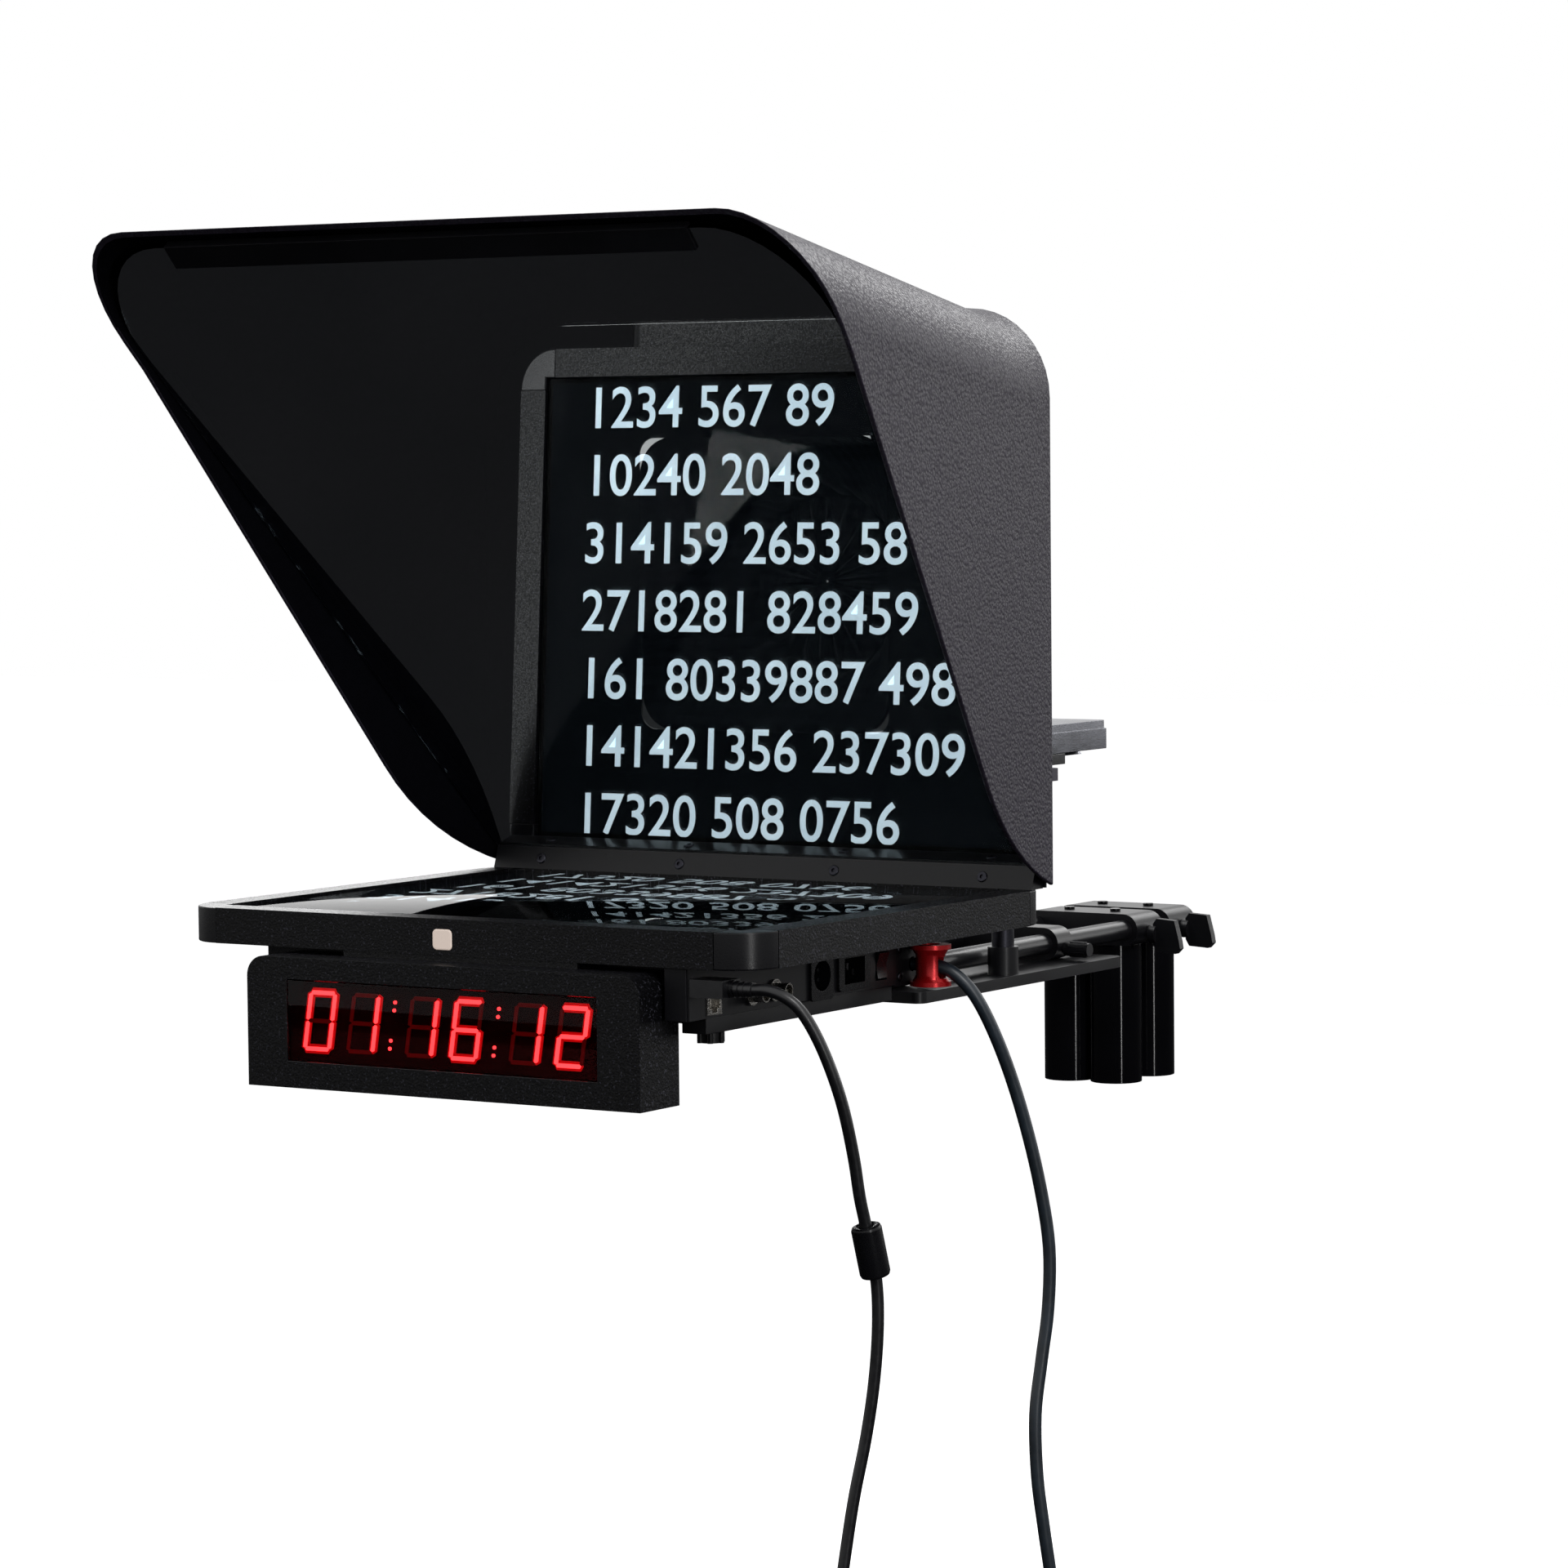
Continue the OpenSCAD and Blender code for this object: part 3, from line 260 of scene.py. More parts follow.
def powder_coat_painted_glints():
    """Textured powder coat: a pebbled black with pale specks painted into its colour as glints off its tiny
    facets, drawn 1.7 mm coarse so that they show.
    """
    made, tree, shader, place = start_material("powder_coat_painted_glints", Specular_IOR_Level=0.18)
    pebbles = cells(tree, place, 1.3, 0.7)
    painted_glint = noise(tree, place, 1.7, 1, 0.6)
    # Painted glints: pale specks in the base colour where the coat's facets would catch the light.
    tree.links.new(two_colours(tree, painted_glint, "#08080a", "#45454e", 0.6, 0.75), shader.inputs["Base Color"])
    tree.links.new(vary(tree, pebbles, 0.3, 0.46), shader.inputs["Roughness"])
    raise_surface(tree, shader, pebbles, 0.12, 0.8)
    return made


def brushed(name, dark, light, roughness):
    """Brushed metal: hair lines along the piece that stretch its highlights."""
    made, tree, shader, place = start_material(name, Metallic=1.0, Anisotropic=0.35)
    stretched = add_node(tree, "ShaderNodeMapping", None, {
        "Vector": place, "Scale": (1, 0.03, 1)}).outputs["Vector"]
    lines = noise(tree, stretched, 0.5, 2, 0.7)
    broad = noise(tree, place, 40, 2)
    tree.links.new(two_colours(tree, mix_patterns(tree, lines, broad, 0.5), dark, light),
                   shader.inputs["Base Color"])
    tree.links.new(vary(tree, lines, roughness - 0.08, roughness + 0.08), shader.inputs["Roughness"])
    raise_surface(tree, shader, lines, 0.02, 0.4)
    return made


def glowing(name, colour, glow, strength, roughness=0.4, specular=0.5):
    """A surface that gives light of its own, with a trace of unevenness."""
    made, tree, shader, place = start_material(
        name, Base_Color=linear(colour), Roughness=roughness, Specular_IOR_Level=specular,
        Emission_Color=linear(glow), Emission_Strength=strength)
    raise_surface(tree, shader, noise(tree, place, 0.8), 0.02)
    return made


def beam_coating():
    """Half-mirror coating on the glass: returns a little over half of the light and lets the rest by."""
    made, tree, shader, place = start_material(
        "beam_coating", Metallic=0.55, Roughness=0.0, IOR=1.52, Transmission_Weight=1.0,
        Specular_IOR_Level=0.5)
    haze = noise(tree, place, 90, 2)
    tree.links.new(two_colours(tree, haze, "#eef4f6", "#f4f8fa"), shader.inputs["Base Color"])
    return made


def clear_glass():
    """Float glass: clear, with the faint green of its polished edges."""
    made, tree, shader, place = start_material(
        "clear_glass", Roughness=0.0, IOR=1.52, Transmission_Weight=1.0)
    haze = noise(tree, place, 90, 2)
    tree.links.new(two_colours(tree, haze, "#e6f0f0", "#f0f6f6"), shader.inputs["Base Color"])
    return made


def screen_cover():
    """Coated cover of the screen: its low index keeps reflections faint except at low angles."""
    made, tree, shader, place = start_material(
        "screen_cover", Roughness=0.03, IOR=1.14, Transmission_Weight=1.0)
    haze = noise(tree, place, 30, 2)
    tree.links.new(two_colours(tree, haze, "#e8eef2", "#f4f8fa"), shader.inputs["Base Color"])
    return made


def red_tinted_window():
    """Dark red acrylic: hides the board behind it and lets the lit segments through."""
    made, tree, shader, place = start_material(
        "red_tinted_window", Roughness=0.02, IOR=1.16, Transmission_Weight=1.0)
    haze = noise(tree, place, 60, 2)
    tree.links.new(two_colours(tree, haze, "#e06468", "#e66c70"), shader.inputs["Base Color"])
    return made


def woven_cloth():
    """Black woven nylon: plain weave, drawn 1.4 mm coarse so that it shows."""
    made, tree, shader, place = start_material(
        "woven_cloth", Sheen_Weight=0.12, Sheen_Roughness=0.5, Specular_IOR_Level=0.0)
    thread = 1 / (1.4 * MM)
    warp = add_node(tree, "ShaderNodeTexWave", {"bands_direction": "X"}, {
        "Vector": place, "Scale": thread / 20, "Distortion": 0.4, "Detail": 1.0}).outputs["Fac"]
    weft = add_node(tree, "ShaderNodeTexWave", {"bands_direction": "Z"}, {
        "Vector": place, "Scale": thread / 20, "Distortion": 0.4, "Detail": 1.0}).outputs["Fac"]
    weave = mix_patterns(tree, warp, weft, 0.5)
    tree.links.new(two_colours(tree, weave, "#101013", "#1d1d21"), shader.inputs["Base Color"])
    tree.links.new(vary(tree, weave, 0.75, 0.9), shader.inputs["Roughness"])
    raise_surface(tree, shader, weave, 0.25, 0.8)
    return made


def cord_jacket(name, dark, light, roughness):
    """Extruded PVC jacket: smooth, slightly wavy, with a soft gloss."""
    made, tree, shader, place = start_material(name)
    wave = noise(tree, place, 18, 2)
    tree.links.new(two_colours(tree, wave, dark, light), shader.inputs["Base Color"])
    tree.links.new(vary(tree, noise(tree, place, 4), roughness - 0.05, roughness + 0.05),
                   shader.inputs["Roughness"])
    raise_surface(tree, shader, wave, 0.2, 0.3)
    return made


FINISHES = {
    # Black anodised extrusions: a tight satin with soft, long highlights.
    "black_anodised": plain_finish("satin_black_anodised", "#101013", "#17171a", 0.32, 0.05, 0.5, 0.02,
                                   Specular_IOR_Level=0.28),
    "powder_black": powder_coat_painted_glints(),
    # Injection-moulded corners: smoother and a little glossier than the coated rails.
    "cap_plastic": plain_finish("moulded_corner_plastic", "#0e0e11", "#151518", 0.3, 0.05, 0.8, 0.02,
                                 Specular_IOR_Level=0.25),
    "hood_abs": leather_grain_abs(),
    # Gloss enamel: near black with clear, bright reflections.
    "gloss_black": plain_finish("gloss_black_enamel", "#07070a", "#0b0b0f", 0.09, 0.02, 2.5, 0.003,
                                Specular_IOR_Level=0.2),
    # Blackened steel: dark metal with a brushed sheen.
    "steel_dark": brushed("blackened_steel", "#29292e", "#3a3a40", 0.36),
    # Satin anodised aluminium: pale metal, evenly dull.
    "silver": brushed("satin_aluminium", "#5f6065", "#77787e", 0.28),
    "head_grey": plain_finish("grey_anodised", "#35323c", "#45414e", 0.42, 0.06, 0.6, 0.03,
                                Specular_IOR_Level=0.3),
    # Glass-filled nylon: dull black with a fine moulded texture.
    "knob_plastic": plain_finish("moulded_nylon", "#0d0d10", "#141417", 0.38, 0.08, 0.7, 0.05,
                                  Specular_IOR_Level=0.25),
    "panel_black": plain_finish("smooth_black_panel", "#0a0a0d", "#101014", 0.4, 0.05, 0.6, 0.02,
                                 Specular_IOR_Level=0.2),
    "black_plastic": plain_finish("glossy_black_plastic", "#0b0b0e", "#121215", 0.26, 0.05, 0.9, 0.02,
                                   Specular_IOR_Level=0.25),
    "frame_black": plain_finish("matt_black_coat", "#0a0a0d", "#101014", 0.5, 0.06, 0.7, 0.04,
                                 Specular_IOR_Level=0.15),
    # Nickel plate: warm pale metal with small stains.
    "jack_metal": brushed("nickel_plate", "#a09d98", "#cbc8c2", 0.24),
    "board_green": plain_finish("circuit_board", "#12401f", "#1c5a2e", 0.4, 0.05, 1.5, 0.03),
    # Red anodised aluminium: saturated red with a metal's depth.
    "red_anodised": plain_finish("red_anodised", "#b50f16", "#d8161e", 0.3, 0.06, 0.5, 0.02, 0.45),
    "cloth": woven_cloth(),
    "cord_black": cord_jacket("black_cord_jacket", "#0c0c0f", "#141417", 0.34),
    "cord_grey": cord_jacket("slate_cord_jacket", "#1d242b", "#28313a", 0.38),
    # Frosted lamp cover: pale and faintly lit from inside.
    "lamp": glowing("frosted_lamp", "#f4e6dc", "#ffe9da", 0.35, 0.45),
}
LINING = flocked_inside()
COATING = beam_coating()
CLEAR_GLASS = clear_glass()
SCREEN_COVER = screen_cover()
WINDOW = red_tinted_window()
LIT_RED = glowing("lit_segment", "#ff4048", "#ff6a6c", 5.0)
# Unlit segments get a faint painted glow, so that they show dark red although no current lights them.
UNLIT_RED_PAINTED_GLOW = glowing("unlit_segment_painted_glow", "#4c1014", "#c01018", 0.05, 0.5)
# Painted glow: the light of the lit segments spilling onto the board, drawn as wider red bars that glow
# behind them.
PAINTED_GLOW_RED = glowing("painted_segment_glow", "#400808", "#d8101c", 0.75)
BOARD_BLACK = plain_finish("display_board", "#140c0c", "#1a0f0f", 0.7, 0.05, 1.5, 0.02,
                            Specular_IOR_Level=0.0)
SCREEN_DARK = glowing("screen_dark", "#040506", "#9fc4e8", 0.003, 0.6, 0.0)
SCREEN_TEXT = glowing("screen_numerals", "#c8d4da", "#dcebf2", 1.2, 0.6, 0.0)
MASK_BLACK = plain_finish("screen_mask", "#040405", "#070708", 0.5, 0.05, 1.5, 0.01,
                           Specular_IOR_Level=0.0)


# ---------------------------------------------------------------- tools for pieces

def only(obj):
    """Selects one object and nothing else."""
    bpy.ops.object.select_all(action="DESELECT")
    obj.select_set(True)
    bpy.context.view_layer.objects.active = obj


def apply_modifier(obj, kind, **settings):
    """Adds a modifier with its settings and applies it."""
    only(obj)
    made = obj.modifiers.new(kind.lower(), kind)
    for name, value in settings.items():
        setattr(made, name, value)
    bpy.ops.object.modifier_apply(modifier=made.name)


def settle(obj, name, body, finish, replaced=()):
    """Names a piece, gives it its finish and ties it to its body."""
    obj.name = name
    only(obj)
    bpy.ops.object.transform_apply(location=True, rotation=True, scale=True)
    if finish is not None:
        obj.data.materials.clear()
        obj.data.materials.append(finish)
    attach(obj, body)
    if replaced:
        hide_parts(*replaced)
    return obj


SLOT_OF = {part["node"]: part["material_slot"] for part in frame["record"]["subparts"]}
BODY_OF = {node: body for body, nodes in frame["record"]["behaviour"]["bodies"].items() for node in nodes}


def dress(node, edge_mm, smooth_deg=32, finish=None, steps=2):
    """A copy of a CAD node with merged corners, rounded edges and smooth curves, which stands for it."""
    copy = frame["nodes"][node].copy()
    copy.data = copy.data.copy()
    copy.animation_data_clear()
    bpy.context.collection.objects.link(copy)
    copy.parent = None
    copy.matrix_world = Matrix.Identity(4)
    for key in list(copy.keys()):
        if key.startswith("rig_"):
            del copy[key]
    only(copy)
    bpy.ops.object.mode_set(mode="EDIT")
    bpy.ops.mesh.select_all(action="SELECT")
    bpy.ops.mesh.remove_doubles(threshold=0.00001)
    bpy.ops.mesh.dissolve_limited(angle_limit=math.radians(0.5))
    bpy.ops.object.mode_set(mode="OBJECT")
    if edge_mm:
        apply_modifier(copy, "BEVEL", width=edge_mm * MM, segments=steps, limit_method="ANGLE",
                       angle_limit=math.radians(smooth_deg + 6), use_clamp_overlap=True)
    only(copy)
    bpy.ops.object.shade_smooth_by_angle(angle=math.radians(smooth_deg))
    apply_modifier(copy, "WEIGHTED_NORMAL", keep_sharp=True, weight=90)
    return settle(copy, node + "_skin", BODY_OF[node], finish or FINISHES[SLOT_OF[node]],
                  [node])


# Where the monitor's front top edge lies in the frame, in millimetres.
DECK_Y = -500
DECK_Z = 92


def deck(x, y, z):
    """A place in metres from millimetres across, behind and above the monitor's front top edge."""
    return Vector((x * MM, (y + DECK_Y) * MM, (z + DECK_Z) * MM))


def add_block(low, high, edge_mm=0.0):
    """A box between two corners in millimetres over the monitor, with rounded edges."""
    low, high = deck(*low), deck(*high)
    bpy.ops.object.select_all(action="DESELECT")
    bpy.ops.mesh.primitive_cube_add(size=1, location=(low + high) / 2)
    block = bpy.context.object
    block.scale = high - low
    bpy.ops.object.transform_apply(location=True, rotation=True, scale=True)
    if edge_mm:
        apply_modifier(block, "BEVEL", width=edge_mm * MM, segments=3)
        bpy.ops.object.shade_smooth_by_angle(angle=math.radians(35))
    return block


def select_faces(obj, wanted):
    """Leaves obj in edit mode with the faces selected for which wanted(face) is true."""
    only(obj)
    bpy.ops.object.mode_set(mode="EDIT")
    bpy.ops.mesh.select_mode(type="FACE")
    bpy.ops.mesh.select_all(action="DESELECT")
    bpy.ops.object.mode_set(mode="OBJECT")
    for face in obj.data.polygons:
        face.select = wanted(face)
    bpy.ops.object.mode_set(mode="EDIT")


def second_finish(obj, finish, wanted):
    """Gives the faces for which wanted(face) is true a finish of their own."""
    obj.data.materials.append(finish)
    for face in obj.data.polygons:
        if wanted(face):
            face.material_index = len(obj.data.materials) - 1


def join(pieces):
    """Joins pieces into the first of them."""
    bpy.ops.object.select_all(action="DESELECT")
    for piece in pieces:
        piece.select_set(True)
    bpy.context.view_layer.objects.active = pieces[0]
    if len(pieces) > 1:
        bpy.ops.object.join()
    return bpy.context.object


# ---------------------------------------------------------------- pieces that keep the CAD shape

EDGES = {
    # Machined and extruded aluminium.
    "base_plate": 0.8, "base_clamps": 0.8, "rods": 0.5, "rod_caps": 1.0, "riser_columns": 0.5,
    "riser_head": 1.0, "rail_clamp": 0.6, "camera_plate": 0.8, "camera_screw": 0.3,
    "weight_block_front": 0.8, "weight_block_rear": 0.8, "carriage_plate": 0.5,
    "carriage_clamps": 0.8, "cable_holder": 0.5, "glass_bar": 0.5, "hood_frame": 0.4,
    # Turned steel.
    "weights_front": 1.2, "weights_rear": 1.2,
    # Moulded knobs and levers.
    "base_knob_front": 0.5, "base_knob_rear": 0.5, "riser_knob_right": 0.6, "riser_knob_left": 0.6,
    "rail_lever": 0.8, "wing_knob_front": 1.2, "wing_knob_rear": 1.2,
    "carriage_knob_front": 0.5, "carriage_knob_rear": 0.5,
    # Folded sheet, coated.
    "back_tray": 0.3, "frame_rails": 1.0, "corner_caps": 1.6, "signal_box": 0.6,
    "connector_panel": 0.2, "clock_housing": 1.3, "clock_back": 0.3, "rear_panel": 0.4,
    "top_strip": 0.3, "cable_block": 0.8, "tally_lamp": 1.2,
    # Sockets and boards.
    "electronics": 0.3, "data_jacks": 0.2, "bnc_jacks": 0.25, "xlr_inlet": 0.4,
    "mains_inlet": 0.4, "power_switch": 0.5,
    # Cord fittings.
    "video_plug": 1.0, "ferrite_bead": 2.4, "video_end_plug": 1.0, "mains_plug": 1.2,
}
dressed = {node: dress(node, edge) for node, edge in EDGES.items()}


# ---------------------------------------------------------------- hood

HOOD_MIDDLE_Z = 150
GLASS_TILT = math.radians(47)


def dress_hood():
    """The moulded hood: grained outside, black lining inside and a rounded rim."""
    hood = dress("hood", 1.2, 25, steps=3)

    def faces_in(face):
        middle = Vector((0, face.center.y, deck(0, 0, HOOD_MIDDLE_Z).z))
        return face.normal.dot(middle - face.center) > 0.02 and abs(face.normal.y) < 0.6

    second_finish(hood, LINING, faces_in)


dress_hood()


# ---------------------------------------------------------------- glass

def dress_glass():
    """Beam-splitter glass: coated front face, plain rear face and polished edges."""
    glass = dress("beam_glass", 0, finish=CLEAR_GLASS)
    front = Vector((0, -math.sin(GLASS_TILT), -math.cos(GLASS_TILT)))
    second_finish(glass, COATING, lambda face: face.normal.dot(front) > 0.99)


dress_glass()


# ---------------------------------------------------------------- screen

# Half width and front and rear edge of the opening, heights of the layers in it, in millimetres.
SCREEN_X = 199
SCREEN_Y = (20, 343)
PANEL_Z = (-20.5, -4.5)
MASK_Z = (-4.45, -4.05)
COVER_Z = (-4, -2)
TEXT_Z = -4.2
MASK_BORDER = 3
LINES = [
    "1234 567 89", "10240 2048", "314159 2653 589", "2718281 828459",
    "161 80339887 498", "141421356 237309", "17320 508 0756",
]
LEFT_MARGIN = -166
CAP_HEIGHT = 28.5
FIRST_BASELINE = 55.5
LINE_PITCH = 47.2


def add_line(words, baseline):
    """One line of numerals on the screen, turned over so that it reads the right way in the glass."""
    bpy.ops.object.text_add(location=(0, 0, 0))
    line = bpy.context.object
    line.data.body = words
    line.data.size = 1
    line.data.offset = 0.008
    line.data.extrude = 0.002
    line.data.resolution_u = 6
    bpy.ops.object.select_all(action="DESELECT")
    line.select_set(True)
    bpy.context.view_layer.objects.active = line
    bpy.ops.object.convert(target="MESH")
    tall = max(v.co.y for v in line.data.vertices)
    size = CAP_HEIGHT * MM / tall
    line.scale = (size, size, 0.05)
    line.rotation_euler = (math.pi, 0, 0)
    line.location = deck(LEFT_MARGIN, baseline, TEXT_Z)
    bpy.ops.object.transform_apply(location=True, rotation=True, scale=True)
    return line


def build_screen():
    """The panel, its lit numerals, a black border round them and the cover over all."""
    def layer(heights, edge_mm=0.0):
        return add_block((-SCREEN_X + 1, SCREEN_Y[0] + 1, heights[0]),
                         (SCREEN_X - 1, SCREEN_Y[1] - 1, heights[1]), edge_mm)

    panel = layer(PANEL_Z, 0.4)
    settle(panel, "screen_panel", "prompter", SCREEN_DARK, ["lcd_panel"])

    text = join([add_line(words, FIRST_BASELINE + i * LINE_PITCH) for i, words in enumerate(LINES)])
    settle(text, "screen_numbers", "prompter", SCREEN_TEXT)

    mask = layer(MASK_Z)
    for top in (True, False):
        select_faces(mask, lambda face: abs(face.normal.z) > 0.9 and (face.normal.z > 0) == top)
        bpy.ops.mesh.inset(thickness=MASK_BORDER * MM, depth=0)
        bpy.ops.object.mode_set(mode="OBJECT")
    select_faces(mask, lambda face: abs(face.normal.z) > 0.9 and face.area > 0.08)
    bpy.ops.mesh.bridge_edge_loops()
    bpy.ops.object.mode_set(mode="OBJECT")
    settle(mask, "screen_mask", "prompter", MASK_BLACK)

    cover = layer(COVER_Z, 0.3)
    settle(cover, "screen_cover_glass", "prompter", SCREEN_COVER)


build_screen()


# ---------------------------------------------------------------- clock display

# Height of the window's middle, front of the board behind it, and the digits on it, in millimetres.
WINDOW_Z = -67
BOARD_Y = -12.5
DIGIT_H = 38
DIGIT_SPAN = 19
DIGIT_SLANT = 0.16
DIGIT_PITCH = 34
COLON_GAP = 11.5
COLON_DOTS = (-14.5, -9.5, 9.5, 14.5)
DOT_R = 1.1
BAR_WIDTH = 2.5
BAR_GAP = 1.0
BAR_DEPTH = 0.8
# How much longer and wider than a lit bar its painted glow is: the light spilling onto the board, drawn as a
# wider glowing bar behind it.
PAINTED_GLOW_LONGER = 3.0
PAINTED_GLOW_WIDER = 3.4
BOARD_HALF_X = 131
BOARD_HALF_Z = 32
PANE_HALF_X = 118.6
PANE_HALF_Z = 25.6
PANE_Y = (-19.5, -16)
SEGMENTS = {
    # Which bars are lit: top, middle, bottom, upper and lower left, upper and lower right.
    "0": "tblLrR", "1": "rR", "6": "tmblLR", "2": "tmbLr",
}


def add_bar(x, z, length, width, upright):
    """One bar of a digit, with pointed ends, its front face toward the window."""
    bpy.ops.object.select_all(action="DESELECT")
    bpy.ops.mesh.primitive_cylinder_add(
        vertices=6, radius=width / math.sqrt(3) * MM, depth=BAR_DEPTH * MM, location=(0, 0, 0),
        rotation=(0, 0, math.pi / 6))
    bar = bpy.context.object
    bpy.ops.object.transform_apply(location=True, rotation=True, scale=True)
    stretch = (length / 2 - width / math.sqrt(3)) * MM
    for vertex in bar.data.vertices:
        vertex.co.x += math.copysign(stretch, vertex.co.x)
    bar.rotation_euler = (math.pi / 2, math.pi / 2 if upright else 0, 0)
    bpy.ops.object.transform_apply(location=True, rotation=True, scale=True)
    for vertex in bar.data.vertices:
        vertex.co.z += z * MM
        vertex.co.x += x * MM
    return bar


def add_digit(shown, x):
    """The lit and the dark bars of one slanted digit, and the painted glow behind the lit ones."""
    half = DIGIT_H / 2 - BAR_WIDTH / 2
    side = DIGIT_SPAN / 2
    flat_len, upright_len = DIGIT_SPAN - BAR_GAP, half - BAR_GAP
    places = {
        "t": (0, half, flat_len, False), "m": (0, 0, flat_len, False), "b": (0, -half, flat_len, False),
        "l": (-side, half / 2, upright_len, True), "L": (-side, -half / 2, upright_len, True),
        "r": (side, half / 2, upright_len, True), "R": (side, -half / 2, upright_len, True),
    }
    bars = {"lit": [], "dark": [], "painted_glow": []}
    for key, (bar_x, bar_z, length, upright) in places.items():
        lit = key in SEGMENTS[shown]
        made = {"lit" if lit else "dark": add_bar(bar_x, bar_z, length, BAR_WIDTH, upright)}
        if lit:
            made["painted_glow"] = add_bar(bar_x, bar_z, length + PAINTED_GLOW_LONGER, BAR_WIDTH + PAINTED_GLOW_WIDER, upright)
        for kind, bar in made.items():
            for vertex in bar.data.vertices:
                vertex.co.x += DIGIT_SLANT * vertex.co.z + x * MM
            bars[kind].append(bar)
    return bars


def build_display():
    """The board with its digits, colons and their painted glow."""
    board = add_block((-BOARD_HALF_X, BOARD_Y, WINDOW_Z - BOARD_HALF_Z),
                      (BOARD_HALF_X, BOARD_Y + 2, WINDOW_Z + BOARD_HALF_Z), 0.3)
    settle(board, "clock_board", "prompter", BOARD_BLACK, ["clock_display"])
    bars = {"lit": [], "dark": [], "painted_glow": []}
    for index, shown in enumerate("011612"):
        x = (index - 2.5) * DIGIT_PITCH + (index // 2 - 1) * COLON_GAP
        for kind, made in add_digit(shown, x).items():
            bars[kind] += made
    for side in (-1, 1):
        for z in COLON_DOTS:
            bpy.ops.object.select_all(action="DESELECT")
            bpy.ops.mesh.primitive_cylinder_add(
                vertices=20, radius=DOT_R * MM, depth=BAR_DEPTH * MM, rotation=(math.pi / 2, 0, 0),
                location=((side * (DIGIT_PITCH + COLON_GAP / 2) + DIGIT_SLANT * z) * MM, 0, z * MM))
            bpy.ops.object.transform_apply(location=True, rotation=True, scale=True)
            bars["lit"].append(bpy.context.object)
    # The dark segments carry a faint painted glow. The glow bars are painted light from the lit segments
    # falling on the board.
    for name, kind, finish, lift in (("lit_segments", "lit", LIT_RED, 1.1),
                                     ("dark_segments", "dark", UNLIT_RED_PAINTED_GLOW, 1.1),
                                     ("painted_glow_bars", "painted_glow", PAINTED_GLOW_RED, 0.2)):
        face = join(bars[kind])
        face.location = deck(0, BOARD_Y - lift, WINDOW_Z)
        settle(face, name, "prompter", finish)


def build_window():
    """The tinted pane in front of the board."""
    pane = add_block((-PANE_HALF_X, PANE_Y[0], WINDOW_Z - PANE_HALF_Z),
                     (PANE_HALF_X, PANE_Y[1], WINDOW_Z + PANE_HALF_Z), 0.4)
    settle(pane, "clock_window_pane", "prompter", WINDOW, ["clock_window"])


build_display()
build_window()


# ---------------------------------------------------------------- screws

def build_screws():
    """Button-head screws with hexagon sockets, at the places of the CAD screws."""
    heads = []
    rise, run = 15.2, 5.4
    on_ramp = (math.atan2(rise, run), 0, 0)
    to_rear = (-math.pi / 2, 0, 0)
    to_right = (0, math.pi / 2, 0)
    middle = 7.2
    places = [((x, 342 + run * middle / rise, middle), on_ramp, 3.8) for x in (-178, -62.5, 62.5, 178)]
    places += [((x, 359, z), to_rear, 4) for x in (-194, 194) for z in (56, 168, 290)]
    places += [((x, 359, 7), to_rear, 4) for x in (-110, 110)]
    places += [((170, 252, z), to_right, 3.2) for z in (-33, -51)]
    for place, turn, radius in places:
        bpy.ops.object.select_all(action="DESELECT")
        bpy.ops.mesh.primitive_cylinder_add(vertices=28, radius=radius * MM, depth=2 * MM,
                                            location=(0, 0, 0.001))
        head = bpy.context.object
        select_faces(head, lambda face: face.normal.z > 0.9)
        bpy.ops.mesh.bevel(offset=0.9 * MM, segments=4, affect="EDGES")
        bpy.ops.object.mode_set(mode="OBJECT")
        bpy.ops.object.select_all(action="DESELECT")
        bpy.ops.mesh.primitive_cylinder_add(vertices=6, radius=0.42 * radius * MM, depth=2.4 * MM,
                                            location=(0, 0, 0.0019))
        socket = bpy.context.object
        apply_modifier(head, "BOOLEAN", object=socket, operation="DIFFERENCE", solver="EXACT")
        bpy.data.objects.remove(socket)
        only(head)
        bpy.ops.object.shade_smooth_by_angle(angle=math.radians(35))
        head.rotation_euler = turn
        head.location = deck(*place)
        bpy.ops.object.transform_apply(location=True, rotation=True, scale=True)
        heads.append(head)
    settle(join(heads), "screw_heads", "prompter", FINISHES["steel_dark"], ["screws"])


build_screws()


# ---------------------------------------------------------------- lens sleeve

LENS_Z = 200
# Front and rear of the sleeve, then its half size at the panel and the radii of its rim and its
# drawn mouth, in millimetres.
SLEEVE_Y = (359.4, 449)
PANEL_HALF = 102.5
RIM_R = 62
MOUTH_R = 4.6
PLEATS = 22
# Share of the way from the panel to the mouth that the side takes, and the gathered end's length
# in lengths of the side.
SIDE_SHARE = 0.62
END_LENGTH = 0.6129
RINGS = 38
ROUND_STEPS = 352
HEM_Y = SLEEVE_Y[1] - 8
HEM_THICK = 3.4
HEM_RIPPLE = 0.4


